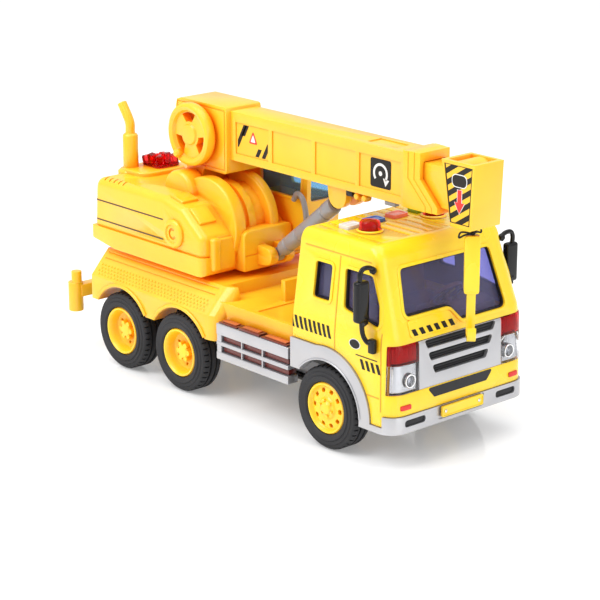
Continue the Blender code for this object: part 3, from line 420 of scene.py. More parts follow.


# The fourth value of each moulded finish is its painted shade colour, mixed in at corners and creases.
FINISH = {
    "golden": moulded("golden_plastic", (1.0, 0.56, 0.02), 0.3, (1.0, 0.26, 0.0), coat=0.25, scatter=0.12),
    "lemon": moulded("lemon_plastic", (1.0, 0.68, 0.015), 0.26, (1.0, 0.42, 0.0), coat=0.3, scatter=0.08),
    "rim": moulded("rim_plastic", (1.0, 0.66, 0.02), 0.3, (0.9, 0.34, 0.0), coat=0.2, scatter=0.08),
    "silver": moulded("silver_paint", (0.5, 0.5, 0.52), 0.3, (0.3, 0.3, 0.32), metallic=0.55, coat=0.3),
    "black": moulded("black_plastic", (0.009, 0.009, 0.01), 0.16, (0.005, 0.005, 0.005), spread=0.25,
                     shine=0.3),
    "slot": moulded("slot_black", (0.026, 0.026, 0.028), 0.45, (0.012, 0.012, 0.012), spread=0.2, shine=0.25),
    "rubber": moulded("tyre_rubber", (0.034, 0.034, 0.037), 0.6, (0.014, 0.014, 0.015), 0.25, 900.0,
                      spread=0.2, shine=0.25),
    "grey": moulded("grey_plastic", (0.27, 0.27, 0.29), 0.28, (0.15, 0.15, 0.16), coat=0.3),
    "steel": moulded("bright_steel", (0.7, 0.7, 0.7), 0.2, (0.3, 0.3, 0.3), metallic=1.0),
    "chrome": moulded("lamp_reflector", (0.86, 0.87, 0.88), 0.14, (0.6, 0.6, 0.6), metallic=0.9),
    "brown": moulded("brown_plastic", (0.5, 0.2, 0.04), 0.42, (0.25, 0.09, 0.02), spread=0.15),
    "maroon": moulded("maroon_plastic", (0.16, 0.018, 0.012), 0.3, (0.06, 0.008, 0.006), coat=0.3),
    "copper": moulded("copper_panel", (0.62, 0.17, 0.06), 0.3, (0.3, 0.06, 0.02), metallic=0.3, spread=0.2),
    "ink": moulded("sticker_ink", (0.02, 0.018, 0.016), 0.35, (0.01, 0.01, 0.01), spread=0.3, shine=0.2),
    "line": moulded("sticker_brown", (0.07, 0.035, 0.01), 0.35, (0.03, 0.015, 0.005), spread=0.2),
    "paper": moulded("sticker_yellow", (1.0, 0.56, 0.03), 0.4, (0.9, 0.4, 0.02), spread=0.03),
    "white": moulded("white_plastic", (0.82, 0.82, 0.82), 0.26, (0.6, 0.6, 0.6), coat=0.2),
    "blue": moulded("blue_key", (0.05, 0.16, 0.6), 0.26, (0.02, 0.08, 0.35), coat=0.3),
    "pink": moulded("pink_key", (1.0, 0.26, 0.17), 0.26, (0.8, 0.14, 0.08), coat=0.3),
    "green": moulded("green_key", (0.3, 0.6, 0.03), 0.26, (0.16, 0.35, 0.01), coat=0.3),
    "seam": moulded("seam_shadow", (0.7, 0.36, 0.01), 0.4, (0.5, 0.2, 0.005)),
    "warning": moulded("warning_red", (0.75, 0.03, 0.02), 0.35, (0.5, 0.02, 0.01)),
    "plate": moulded("plate_yellow", (1.0, 0.72, 0.03), 0.3, (1.0, 0.5, 0.01), coat=0.2),
    "board": moulded("circuit_board", (0.02, 0.2, 0.07), 0.45, (0.01, 0.1, 0.03), spread=0.2),
    "wrap": moulded("battery_wrap", (0.3, 0.3, 0.32), 0.3, (0.2, 0.2, 0.21)),
    "string": moulded("string_black", (0.012, 0.012, 0.012), 0.8, (0.006, 0.006, 0.006), 0.6, 3000.0,
                      spread=0.3),
    "tint": clear("tinted_window", (0.5, 0.5, 0.88), haze=0.1),
    "sky": clear("blue_window", (0.42, 0.74, 0.98), haze=0.12),
    "red": clear("red_lens", (0.95, 0.04, 0.04), 0.08),
    "lens": clear("clear_lens", (0.96, 0.97, 1.0), 0.04, 0.1),
}


# ---------------------------------------------------------------- studio

def make_studio():
    target = Vector(LOOK_AT) * MM
    az, el = math.radians(AZIMUTH), math.radians(ELEVATION)
    back = Vector((math.sin(az) * math.cos(el), -math.cos(az) * math.cos(el), math.sin(el)))
    data = bpy.data.cameras.new("camera")
    data.lens, data.sensor_width = LENS, SENSOR
    data.clip_start, data.clip_end = 0.05, 20.0
    camera = linked("camera", data)
    camera.location = target + back * DISTANCE * MM
    camera.rotation_mode = "QUATERNION"
    camera.rotation_quaternion = back.to_track_quat("Z", "Y")
    bpy.context.scene.camera = camera

    signs = ((-1, -1), (1, -1), (1, 1), (-1, 1))
    floor = piece("floor", [(FLOOR_HALF * a, FLOOR_HALF * b, FLOOR_DROP) for a, b in signs], [[0, 1, 2, 3]])
    material, tree, shader = nodes_of("floor_gloss")
    sheen = add(tree, "ShaderNodeTexNoise", {"Scale": 3.0, "Detail": 2.0})
    wire(tree, add(tree, "ShaderNodeTexCoord"), "Object", sheen, "Vector")
    gloss = add(tree, "ShaderNodeMapRange", {"To Min": 0.07, "To Max": 0.12})
    wire(tree, sheen, "Fac", gloss, "Value")
    wire(tree, gloss, "Result", shader, "Roughness")
    shader.inputs["Base Color"].default_value = (0.93, 0.93, 0.93, 1.0)
    shader.inputs["Specular IOR Level"].default_value = 0.6
    shader.inputs["Emission Color"].default_value = (1.0, 1.0, 1.0, 1.0)
    shader.inputs["Emission Strength"].default_value = 0.2
    floor.data.materials.append(material)

    world = bpy.data.worlds.new("studio")
    world.use_nodes = True
    world.node_tree.nodes["Background"].inputs["Color"].default_value = (1.0, 1.0, 1.0, 1.0)
    world.node_tree.nodes["Background"].inputs["Strength"].default_value = 0.75
    bpy.context.scene.world = world
    lamps = {
        "key": ((-350, -1100, 1300), 1.1, 17.0),
        "top": ((100, 100, 1500), 1.4, 9.0),
        "front": ((1500, 100, 500), 0.9, 4.0),
    }
    for name, (where, width, power) in lamps.items():
        lamp = bpy.data.lights.new(name, "AREA")
        lamp.size, lamp.energy = width, power
        holder = linked(name, lamp)
        holder.location = Vector(where) * MM
        holder.rotation_euler = (Vector(where) * MM - target).to_track_quat("Z", "Y").to_euler()
    bpy.context.scene.view_settings.view_transform = "Standard"


# ---------------------------------------------------------------- wheels

def make_tyre_mesh():
    """One tyre about the Y axis with its outer face to -Y: stepped side walls and shoulder blocks."""
    width_in, width_out = 8.0, -7.0
    wall = [(14.5, 0.9), (15.4, 0.0), (17.6, -0.25), (18.0, 0.35), (19.8, 0.2), (20.2, 0.75), (21.6, 0.9),
            (22.4, 1.7), (TYRE_R, 2.7)]
    outer = [(radius, width_out + depth) for radius, depth in wall]
    inner = [(radius, width_in - depth) for radius, depth in reversed(wall)]
    grooves = [(TYRE_R, -1.6), (22.0, -1.4), (22.0, -0.4), (TYRE_R, -0.2), (TYRE_R, 2.2), (22.0, 2.4),
               (22.0, 3.4), (TYRE_R, 3.6)]
    profile = outer + grooves + inner
    made = turned("tyre", profile, (0, 0, 0), "Y", 120)
    notches = []
    for k in range(40):
        for low, high in ((-6.0, -2.6), (4.6, 7.2)):
            notch = block("notch", (22.2, 25.0), (low, high), (-0.42, 0.42))
            notches.append(moved(notch, turn=9.0 * k, axis="Y"))
    return soften(cut(made, joined("notches", notches)), 0)


def make_rim_mesh(front):
    """A rim about the Y axis, outer face to -Y: domed with oval holes, or dished with a lobed hub."""
    outer_y = -7.0
    if front:
        face = [(0, outer_y + 0.4), (3.0, outer_y + 0.4), (3.8, outer_y + 1.4), (5.4, outer_y + 1.6),
                (6.2, outer_y + 2.4), (9.0, outer_y + 2.0), (11.6, outer_y + 2.6), (12.3, outer_y + 1.6),
                (12.8, outer_y + 0.7), (13.6, outer_y + 0.6), (14.2, outer_y + 1.2)]
    else:
        face = [(0, outer_y + 3.2), (3.4, outer_y + 3.2), (4.2, outer_y + 4.0), (4.6, outer_y + 6.6),
                (7.6, outer_y + 7.0), (10.6, outer_y + 6.0), (11.6, outer_y + 3.6), (12.2, outer_y + 1.4),
                (12.9, outer_y + 0.5), (13.7, outer_y + 0.5), (14.2, outer_y + 1.2)]
    made = turned("rim", face + [(14.2, 7.0), (3.0, 7.0), (3.0, 2.5), (0, 2.5)], (0, 0, 0), "Y", 72)
    holes, knobs = [], []
    if front:
        for k in range(10):
            hole = prism("hole", [(x + 9.8, z) for x, z in oblong((-1.2, -1.35), (1.2, 1.35), 1.1)], -9,
                         -1.5, "Y")
            holes.append(moved(hole, turn=36.0 * k, axis="Y"))
        for k in range(6):
            knob = rod("nut", (4.6, 0, 0), 0.75, outer_y + 0.5, outer_y + 2.2, "Y", 6)
            knobs.append(moved(knob, turn=60.0 * k + 15, axis="Y"))
    else:
        for k in range(6):
            knob = rod("lobe", (4.4, 0, 0), 1.5, outer_y + 3.4, outer_y + 7.2, "Y", 16)
            knobs.append(moved(knob, turn=60.0 * k, axis="Y"))
            hole = rod("hole", (8.2, 0, 0), 0.9, -4, 1.5, "Y", 16)
            holes.append(moved(hole, turn=60.0 * k + 30, axis="Y"))
    cut(made, joined("holes", holes))
    for knob in knobs:
        fuse(made, knob)
    return soften(cleaned(made), 0.22, 2)


def make_wheels():
    tyre = make_tyre_mesh()
    rims = {True: make_rim_mesh(True), False: make_rim_mesh(False)}
    for axle, x in AXLE_X.items():
        for side, word in SIDES:
            turn = Matrix.Rotation(math.pi if side == LEFT else 0.0, 4, "Z")
            put = Matrix.Translation(Vector((x, side * WHEEL_TRACK, AXLE_Z)) * MM) @ turn
            for kind, source, look, slot in (
                ("tyre", tyre, "rubber", "rubber"), ("rim", rims[axle == "front"], "rim", "rim_plastic"),
            ):
                made = linked(f"{kind}_{axle}_{word}", source.data.copy())
                made.data.transform(put)
                shown(made, look, f"{axle}_wheels", f"{axle}_{word}_{kind}")
    for used in (tyre, *rims.values()):
        bpy.data.objects.remove(used, do_unlink=True)


# ---------------------------------------------------------------- cab

def cab_section(z):
    """Rear x, front x, half width and corner radius at one height; the roof's edge rolls over."""
    if z <= CAB_WAIST[0]:
        table = [*CAB_LOW, CAB_WAIST]
        for low, high in zip(table, table[1:]):
            if z <= high[0]:
                t = (z - low[0]) / (high[0] - low[0])
                return [a + (b - a) * t for a, b in zip(low[1:], high[1:])]
    rise = min(1.0, (z - CAB_WAIST[0]) / (CAB_ROOF[0] - CAB_WAIST[0]))
    lean = math.cos(math.asin(rise))
    shares = (lean, lean ** 1.5, lean, lean)
    return [top + (low - top) * share for low, top, share in zip(CAB_WAIST[1:], CAB_ROOF[1:], shares)]


def cab_form(name, out, low, high, corner_steps=8):
    """The cab's outer form between two heights, grown by out all round."""
    heights = [low] + [s[0] for s in CAB_LOW if low < s[0] < high] + [high]
    roll = [CAB_WAIST[0] + (CAB_ROOF[0] - CAB_WAIST[0]) * math.sin(math.radians(a)) for a in range(0, 91, 10)]
    heights = sorted(set(heights) | {z for z in roll if low < z < high})
    rings = []
    for z in heights:
        rear, front, half, radius = cab_section(min(z, CAB_ROOF[0]))
        corners = [(rear - out, -half - out), (front + out, -half - out), (front + out, half + out),
                   (rear - out, half + out)]
        plan = rounded(corners, [1.5, radius + out, radius + out, 1.5], corner_steps)
        rings.append([(x, y, z) for x, y in plan])
    return loft(name, rings)


def cab_layer(name, outer, inner, low, high):
    """A skin over the cab between two offsets."""
    skin = cab_form(name, outer, low, high)
    return cut(skin, cab_form("inside", inner, low - 1, high + 1))


def window_outlines():
    side = oblong((71.5, 82), (84.3, 101.5), 2.0)
    door = rounded([(95.5, 81), (123, 76), (121, 88), (114.5, 102), (94, 102)], [3, 3, 6, 3, 2])
    rear = oblong((-26, 84), (26, 103), 3.0)
    screen = rounded([(-36.8, 80.6), (-4, 80.6), (3, 72.5), (36.8, 72.5), (33.2, 104.6), (-33.2, 104.6)],
                     [4, 5, 3, 4, 3, 3])
    return {
        "side": (side, "Y", (-60, 60)), "door": (door, "Y", (-60, 60)),
        "rear": (rear, "X", (50, 66)), "screen": (screen, "X", (108, 140)),
    }


def slanted_stripes(first, step, count, low, high, lean, width):
    """Outlines of slanted bars side by side."""
    bars = []
    for k in range(count):
        u = first + step * k
        bars.append([(u, low), (u + width, low), (u + width + lean, high), (u + lean, high)])
    return bars


def cab_print(name, outlines, axis, reach, low, high, look):
    """Ink on the cab's surface where the outlines, run along the axis over reach, meet it; for the door seams
    the mark is painted shade.
    """
    marks = joined("marks", [prism("mark", outline, *reach, axis) for outline in outlines])
    skin = cab_layer(name, 0.14, -0.3, low, high)
    return shown(soften(keep(skin, marks), 0), look, "truck")


def make_cab_shell():
    shell = cab_form("cab_body", 0, 24.0, CAB_ROOF[0])
    inner = cab_form("hollow", -CAB_WALL, 20.0, CAB_ROOF[0] - CAB_WALL)
    ways = [prism("way", outline, *reach, axis) for outline, axis, reach in window_outlines().values()]
    arch = rod("arch", (AXLE_X["front"], 0, AXLE_Z), 34.8, -60, 60, "Y", 96)
    behind = block("behind", (50, AXLE_X["front"]), (-60, 60), (10, SKIRT_TOP + 0.3))
    front_low = block("front_low", (126.8, 140), (-60, 60), (10, BUMPER_Z[1] + 0.3))
    lamps = block("lamps", (LAMP_REAR_X, 140), (-60, 60), LAMP_BAND)
    keys = [block("key", (70.7, 79.3), (y - 5.8, y + 5.8), (100, 130)) for y in (-25.5, -8.5, 8.5, 25.5)]
    grooves = [block("groove", (x0, x1), (y - 0.45, y + 0.45), (116.0, 120)) for y in range(-35, 36, 7)
               for x0, x1 in ((61, 67.5), (82.5, 108)) if abs(abs(y) - 23.7) > 8 or x0 < 70]
    cut(shell, inner, arch, behind, front_low, lamps, *ways, *keys, joined("grooves", grooves))
    # Raised frames round the windows and the trapezoid panel on the nose
    rims = []
    for outline, axis, reach in window_outlines().values():
        rim = prism("rim", grown(outline, 1.7), *reach, axis)
        rims.append(cut(rim, prism("open", outline, reach[0] - 1, reach[1] + 1, axis)))
    fuse(shell, keep(cab_layer("frames", 0.55, -1.0, 60, 110), joined("rims", rims)))
    cowl = rounded([(-36, 70.5), (-0.5, 70.5), (-5.5, 79.0), (-36, 79.0)], [2, 2, 4, 2])
    fuse(shell, keep(cab_layer("cowl_skin", 0.9, -1.0, 60, 90), prism("cowl", cowl, 110, 140, "X")))
    shown(soften(cleaned(shell), 0.3, 2), "lemon", "truck", "cab_shell")


def make_cab_prints():
    sides = slanted_stripes(56.9, 3.6, 9, 62.6, 69.2, -2.2, 1.9)
    cab_print("side_stripes", sides, "Y", (-60, 60), 60, 72, "ink")
    low_bars = slanted_stripes(111.6, 3.9, 4, 52.0, 57.2, -2.0, 2.0)
    low_bars.append([(106.5, 58.6), (122.5, 58.6), (122.5, 59.1), (106.5, 59.1)])
    cab_print("corner_stripes", low_bars, "Y", (-60, 60), 50, 61, "ink")
    # The door seams are painted shade: thin darker orange lines where the seam grooves would lie in shade.
    seams = [[(90.0, 57), (90.7, 57), (89.4, 107.4), (88.7, 107.4)],
             [(62, 108.0), (112, 108.0), (112, 108.6), (62, 108.6)],
             [(125.2, 32), (125.8, 32), (125.0, 74), (124.4, 74)],
             [(115, 38.8), (124.2, 38.8), (124.2, 39.4), (115, 39.4)]]
    cab_print("door_seams", seams, "Y", (-60, 60), 30, 110, "seam")
    nose = slanted_stripes(-33.5, 5.4, 6, 71.2, 74.6, -1.4, 2.9)
    marks = joined("marks", [prism("mark", bar, 110, 140, "X") for bar in nose])
    skin = cab_layer("nose_stripes", 1.04, 0.6, 69, 78)
    shown(soften(keep(skin, marks), 0), "ink", "truck")
    # A blank oval badge: a black centre in a white ring
    for name, size, out, look in (("badge_ring", 3.4, 0.12, "white"), ("badge_face", 3.0, 0.2, "ink")):
        ovals = []
        for side in (RIGHT, LEFT):
            low, high = span(side, 40.0, 60.0)
            oval = [(105.6 + size * 1.25 * math.cos(a), 64.3 + size * 0.8 * math.sin(a))
                    for a in [2 * math.pi * k / 32 for k in range(32)]]
            ovals.append(prism("oval", oval, low, high, "Y"))
        skin = cab_layer(name, out, -0.3, 58, 70)
        shown(soften(keep(skin, joined("ovals", ovals)), 0), look, "truck")


def make_cab_glass():
    """Tinted panes behind the openings and the black seals round them."""
    glass = from_node("cab_windows", "cab_glazing")
    shown(soften(glass, 0), "tint", "truck", "cab_glazing")
    seals = []
    for outline, axis, reach in window_outlines().values():
        seal = prism("seal", grown(outline, -0.06), *reach, axis)
        seals.append(cut(seal, prism("open", grown(outline, -0.75), reach[0] - 1, reach[1] + 1, axis)))
    ring = keep(cab_layer("window_seals", -0.7, -2.3, 60, 110), joined("seals", seals))
    shown(soften(ring, 0), "ink", "truck")


def make_skirt():
    x, z = AXLE_X["front"], AXLE_Z
    plate = [(56.5, 40), (56.5, SKIRT_TOP), (76.0, SKIRT_TOP)]
    plate += arc((x, z), 34.5, 98, 0, 36)
    plate += [(122.0, 23.7), (122.0, BUMPER_Z[0]), (x + 26.5, BUMPER_Z[0])]
    plate += arc((x, z), 26.5, 0, 140, 40)
    corners = [(100, -SKIRT_SIDE), (134.5, -SKIRT_SIDE), (134.5, SKIRT_SIDE), (100, SKIRT_SIDE)]
    plan = rounded(corners, [1.5, 11.5, 11.5, 1.5], 10)
    front = prism("bumper_and_arches", plan, *BUMPER_Z, "Z")
    cut(front, block("cab_room", (90, 129), (-46.2, 46.2), (10, 40)),
        block("arch_room", (90, 127.1), (-60, 60), (23.7, 40)),
        rod("arch", (x, 0, z), 26.5, -60, 60, "Y", 96))
    pills = []
    for side in (RIGHT, LEFT):
        low, high = span(side, 46.2, SKIRT_SIDE)
        fuse(front, prism("plate", plate, low, high, "Y"))
        inner, outer = span(side, 26.6, 41.6)
        cut(front, prism("pill", oblong((inner, 23.6), (outer, 27.4), 1.8), 133.0, 140, "X"))
        pills.append(prism("pill", oblong((inner + 0.15, 23.75), (outer - 0.15, 27.25), 1.7), 133.1, 133.7,
                           "X"))
    cut(front, prism("bracket", oblong((-17.2, 22.2), (17.2, 29.5), 1.2), 134.0, 140, "X"))
    shown(soften(cleaned(front), 0.55, 3), "silver", "truck", "cab_skirt")
    group("bumper_slots", pills, 0.2, "slot", "truck")
    # A lip along the wheel arch
    lips = []
    for side in (RIGHT, LEFT):
        edge = [(u, side * SKIRT_SIDE, v) for u, v in arc((x, z), 27.1, 3, 138, 40)]
        lips.append(tube("lip", edge, 0.6, 10))
    group("arch_lips", lips, 0, "silver", "truck")


def make_nose():
    """Grille with black slots, lamps with reflectors, the dark trapezoid, side reflectors and plate."""
    grille = cab_form("grille_panel", 0.25, LAMP_BAND[0] + 0.3, LAMP_BAND[1] - 0.3)
    keep(grille, block("zone", (128.5, 140), (-GRILLE_HALF + 0.15, GRILLE_HALF - 0.15), (30, 80)))
    backs, bars = [], []
    for z, reach in ((48.4, 21.5), (55.8, 24.5), (62.8, 27.0)):
        slot = rounded([(-reach + 2.4, z), (reach - 2.4, z), (reach, z + 4.6), (-reach, z + 4.6)], 1.5)
        cut(grille, prism("slot", slot, 130.6, 140, "X"))
        backs.append(prism("back", grown(slot, -0.12), 130.7, 131.6, "X"))
        bars.append(block("bar", (131.7, 132.1), (-reach + 3, reach - 3), (z + 1.3, z + 1.7)))
        bars.append(block("bar", (131.7, 132.1), (-reach + 3, reach - 3), (z + 2.9, z + 3.3)))
    shown(soften(cleaned(grille), 0.5, 3), "silver", "truck", "grille_surround")
    group("grille_slots", backs + bars, 0.1, "slot", "truck")

    for side, word in SIDES:
        low, high = span(side, GRILLE_HALF + 0.15, 60.0)
        inner_low, inner_high = span(side, GRILLE_HALF + 1.0, 60.0)
        levels = {
            "headlamp": (LAMP_BAND[0] + 0.3, LAMP_SPLIT - 0.15, "lens", "chrome", "clear_lens"),
            "marker_lamp": (LAMP_SPLIT + 0.15, LAMP_BAND[1] - 0.3, "red", "warning", "red_lens"),
        }
        for kind, (bottom, top, look, behind, slot) in levels.items():
            lens = cab_layer(f"{kind}_{word}_lens", 0.35, -0.75, bottom, top)
            keep(lens, block("zone", (LAMP_REAR_X + 0.3, 140), (low, high), (30, 80)))
            shown(soften(lens, 0.25, 2), look, "truck", f"{kind}_{word}")
            core = cab_form(f"{kind}_{word}_core", -1.5, bottom + 0.8, top - 0.8)
            keep(core, block("zone", (LAMP_REAR_X + 0.6, 140), (inner_low, inner_high), (30, 80)))
            ribs = []
            for k in range(5):
                along = side * (GRILLE_HALF + 3 + 3.2 * k)
                ribs.append(rod("rib", (0, along, 0), 0.5, bottom + 1.2, top - 1.2, "Z", 8))
                moved(ribs[-1], to=(131.2 - 0.075 * k * k, 0, 0))
            shown(soften(core, 0.3), behind, "truck")
            group(f"{kind}_{word}_ribs", ribs, 0, behind, "truck")
        bowl = [(2.2, 0.0), (3.6, 0.0), (3.9, 0.5), (3.6, 1.2), (3.1, 1.2), (2.6, 0.4)]
        shown(soften(turned(f"headlamp_{word}_ring", bowl, (132.6, side * HEADLAMP_AT[0], HEADLAMP_AT[1]),
                            "X", 40), 0), "chrome", "truck")
        bulb = [(0, 0.2), (1.2, 0.3), (1.9, 0.0), (2.0, -0.8), (0, -0.8)]
        shown(soften(turned(f"headlamp_{word}_bulb", bulb, (133.0, side * HEADLAMP_AT[0], HEADLAMP_AT[1]),
                            "X", 32), 0), "lens", "truck")
    trapezoid = rounded([(-19.7, 35.4), (19.7, 35.4), (24.6, 41.0), (-24.6, 41.0)], 1.2)
    cab_print("nose_panel", [trapezoid], "X", (120, 140), 33, 43, "slot")
    limits = [span(side, 37.0, 44.0) for side in (RIGHT, LEFT)]
    reflectors = [oblong((low, 33.0), (high, 35.6), 0.7) for low, high in limits]
    skin = cab_layer("nose_reflectors", 0.7, -0.4, 30, 38)
    keep(skin, joined("marks", [prism("mark", outline, 120, 140, "X") for outline in reflectors]))
    shown(soften(skin, 0.2), "warning", "truck")
    plate = prism("blank_plate", oblong((-15.5, 23.3), (15.5, 29.2), 1.0), 134.5, 135.5, "X")
    rim = cut(prism("rim", oblong((-15.5, 23.3), (15.5, 29.2), 1.0), 135.4, 136.0, "X"),
              prism("in", oblong((-14.9, 23.9), (14.9, 28.6), 0.8), 135, 137, "X"))
    fuse(plate, rim)
    shown(soften(plate, 0.12), "plate", "truck", "number_plate")
    screws = [turned("screw", [(0, 0.0), (0.9, 0.0), (0.9, 0.25), (0.5, 0.45), (0, 0.45)],
                     (135.5, y, 26.2), "X", 20) for y in (-12.6, 12.6)]
    group("plate_screws", screws, 0, "steel", "truck")


def make_roof():
    top = CAB_ROOF[0]
    for side, word in SIDES:
        dome = [(0, top + 0.9), (5.7, top + 0.9), (5.9, top + 1.6), (5.6, top + 4.6), (4.9, top + 5.7),
                (3.4, top + 6.15), (0, top + 6.2)]
        beacon = turned(f"beacon_{word}_dome", dome, (BEACON_AT[0], side * BEACON_AT[1], 0), "Z", 40)
        shown(soften(beacon, 0), "red", "truck", f"beacon_{word}")
        ring = [(0, top + 0.3), (7.2, top + 0.3), (7.2, top + 0.8), (6.5, top + 1.3), (6.1, top + 0.85),
                (0, top + 0.85)]
        shown(soften(turned(f"beacon_{word}_ring", ring, (BEACON_AT[0], side * BEACON_AT[1], 0), "Z", 40), 0),
              "lemon", "truck")
        core = [(0, top + 1.0), (3.4, top + 1.0), (3.4, top + 4.0), (2.2, top + 4.8), (0, top + 4.8)]
        shown(soften(turned(f"beacon_{word}_core", core, (BEACON_AT[0], side * BEACON_AT[1], 0), "Z", 24), 0),
              "warning", "truck")
    for word, y in {"white": -25.5, "blue": -8.5, "pink": 8.5, "green": 25.5}.items():
        cap = prism(f"key_{word}", oblong((71.0, y - 5.5), (79.0, y + 5.5), 1.6), top - 4.5, top + 1.8, "Z")
        dish = prism("dish", oblong((72.4, y - 4.1), (77.6, y + 4.1), 1.2), top + 1.45, top + 3, "Z")
        shown(soften(cut(cap, dish), 0.35, 3), word, f"button_{word}", f"button_{word}")


def make_mirrors():
    path = [(115.8, 46.9, 105.5), (115.8, 50.5, 107.6), (115.8, 55.0, 107.6), (115.7, 57.0, 104.5),
            (115.5, 56.5, 99.0)]
    lower = [(115.5, 55.5, 84.0), (115.8, 55.0, 74.0), (118.0, 54.2, 69.5), (120.6, 53.2, 68.6)]
    for side, word in SIDES:
        parts = [tube("arm", smooth_path([(x, side * y, z) for x, y, z in part], 8), 1.3, 14)
                 for part in (path, lower)]
        parts.append(turned("ball", [(0, -1.9), (1.3, -1.5), (2.2, 0), (1.6, 1.3), (0, 1.6)],
                            (115.8, side * 47.9, 105.6), "Y", 20))
        foot_low, foot_high = span(side, 51.0, 54.4)
        foot = prism("foot", oblong((118.8, foot_low), (123.0, foot_high), 1.2), 63.4, 71.0, "Z")
        parts.append(soften(foot, 0.6, 3))
        low, high = span(side, 51.4, 60.0)
        housing = soften(prism("housing", oblong((113.0, low), (118.0, high), 2.2), 79.5, 101.5, "Z"), 2.2,
                         6, 50)
        for ball in (83.5, 80.0):
            parts.append(tube("knuckle", [(116.0, side * 54.5, ball - 1.6), (117.8, side * 54.5, ball)], 1.6,
                              12))
        bezel = prism("glass", oblong((low + 1.8, 82.0), (high - 1.8, 99.0), 1.4), 112.75, 113.1, "X")
        group(f"mirror_{word}_arm", [*parts, housing], 0, "black", "truck", f"mirror_{word}")
        shown(soften(bezel, 0.1), "chrome", "truck")


def make_cab():
    make_cab_shell()
    make_cab_prints()
    make_cab_glass()
    make_skirt()
    make_nose()
    make_roof()
    make_mirrors()


# ---------------------------------------------------------------- chassis

def carried(node, look, body, width=0.4, segments=2):
    """A CAD node's own shape with its edges rounded and its finish on."""
    made = soften(cleaned(from_node(f"{node}_shaped", node)), width, segments)
    return shown(made, look, body, node)


def make_deck():
    deck = from_node("deck", "chassis_deck")
    grooves = []
    for side in (RIGHT, LEFT):
        for y, z in ((39.6, 64.2), (42.4, 61.0)):
            grooves.append(moved(block("groove", (-121, -18), (-0.3, 0.3), (-0.4, 1.2)), (0, side * y, z)))
    cut(deck, joined("grooves", grooves), block("tray", (16, 53), (-40, 40), (58.2, 60)))
    shown(soften(deck, 0.9, 3), "golden", "truck", "chassis_deck")
    for side, word in SIDES:
        rings = []
        for k in range(9):
            turn = math.radians(90 * k / 8)
            x, d = -15.3 + 9.3 * math.sin(turn), 9.0 * (1 - math.cos(turn))
            top = 66 - max(0.0, d - 4) * 7 / 6.5
            rings.append([(x, side * y, z) for y, z in (
                (34, top), (34, 41.5), (40, 41.5), (40, 37), (51 - d, 37), (51 - d, 51.5), (44.5 - d, 59),
                (max(38 - d, 34.5), top))])
        shown(soften(loft(f"fender_nose_{word}", rings), 0.6, 3), "golden", "truck")
    # Diamond tread on the fender tops, each stud a low frustum on the slope
    points, faces = [], []
    down = Vector((0, 6.5, -7.5)).normalized()
    for side in (RIGHT, LEFT):
        out = Vector((0, 7.5 * side, 6.5)).normalized()
        fall = Vector((0, down.y * side, down.z))
        for row in range(4):
            for k in range(34):
                middle = Vector((-120 + 3.0 * k + 1.5 * (row % 2), side * 44.5, 59)) + fall * (1.6
                                                                                               + 2.1 * row)
                base = len(points)
                for lift, size in ((-0.25, 1.0), (0.5, 0.5)):
                    for a, b in ((1, 0), (0, 1), (-1, 0), (0, -1)):
                        points.append(middle + Vector((a * 1.25 * size, 0, 0)) + fall * b * 0.85 * size
                                      + out * lift)
                faces += [[base, base + 1, base + 2, base + 3], [base + 4, base + 5, base + 6, base + 7]]
                faces += [[base + i, base + (i + 1) % 4, base + 4 + (i + 1) % 4, base + 4 + i]
                          for i in range(4)]
    shown(soften(piece("fender_tread", points, faces), 0), "golden", "truck")
    lips = []
    for axle in ("middle", "rear"):
        for side in (RIGHT, LEFT):
            edge = [(u, side * 51.0, v) for u, v in arc((AXLE_X[axle], AXLE_Z), ARCH_R + 0.5, 33, 147, 40)]
            lips.append(tube("lip", edge, 1.2, 14))
    group("fender_lips", lips, 0, "golden", "truck")


def make_racks():
    """Silver rails with maroon boxes between them and on top."""
    for side, word in SIDES:
        back = span(side, 44.5, 47.7)
        end = span(side, 44.6, 51.7)
        deep = span(side, 44.3, SKIRT_SIDE)
        arm = span(side, 24.3, 46.0)
        bars = [block("back", (-5.6, 52.5), back, (28.7, 49.3)),
                block("end", (-5.8, -2.0), end, (28.8, 49.2))]
        bars += [block("rail", (-6, 54.5), deep, z) for z in ((28.5, 33.0), (36.8, 39.2), (43.0, 49.5))]
        bars += [block("arm", (x, x + 6), arm, (34, 38)) for x in (8.0, 38.0)]
        rack = joined(f"side_rack_{word}_shaped", [soften(bar, 0.5, 3) for bar in bars])
        shown(rack, "silver", "truck", f"side_rack_{word}")
        boxes, posts, panels = [], [], []
        for z in (33.0, 39.2):
            for k in range(3):
                x = -1.2 + 17.4 * k
                # The last box runs round the front corner
                front = x + 16.2 + 3.6 * (k == 2)
                low, high = span(side, 44.9, 50.2)
                boxes.append(prism("box", oblong((x, z + 0.3), (front, z + 3.5), 0.6), low, high, "Y"))
                low, high = span(side, 47.4, 51.6)
                if k < 2:
                    post = oblong((x + 16.3, z - 0.2), (x + 17.3, z + 4.0), 0.3)
                    posts.append(prism("post", post, low, high, "Y"))
        low, high = span(side, 45.0, 51.2)
        for k, (x0, x1) in enumerate(((-4.5, 11.0), (12.5, 30.0), (31.5, 53.0))):
            panels.append(block("panel", (x0, x1), (low, high), (49.6, 50.5 + 0.5 * (k % 2))))
            panels.append(block("strip", (x0 + 2, x1 - 2), (low + 1.2, high - 1.2),
                                (50.4, 51.3 + 0.4 * (k % 2))))
        group(f"rack_{word}_boxes", boxes, 0.3, "maroon", "truck")
        group(f"rack_{word}_posts", posts, 0.2, "silver", "truck")
        group(f"rack_{word}_panels", panels[0::2], 0.3, "maroon", "truck")
        group(f"rack_{word}_covers", panels[1::2], 0.3, "copper", "truck")


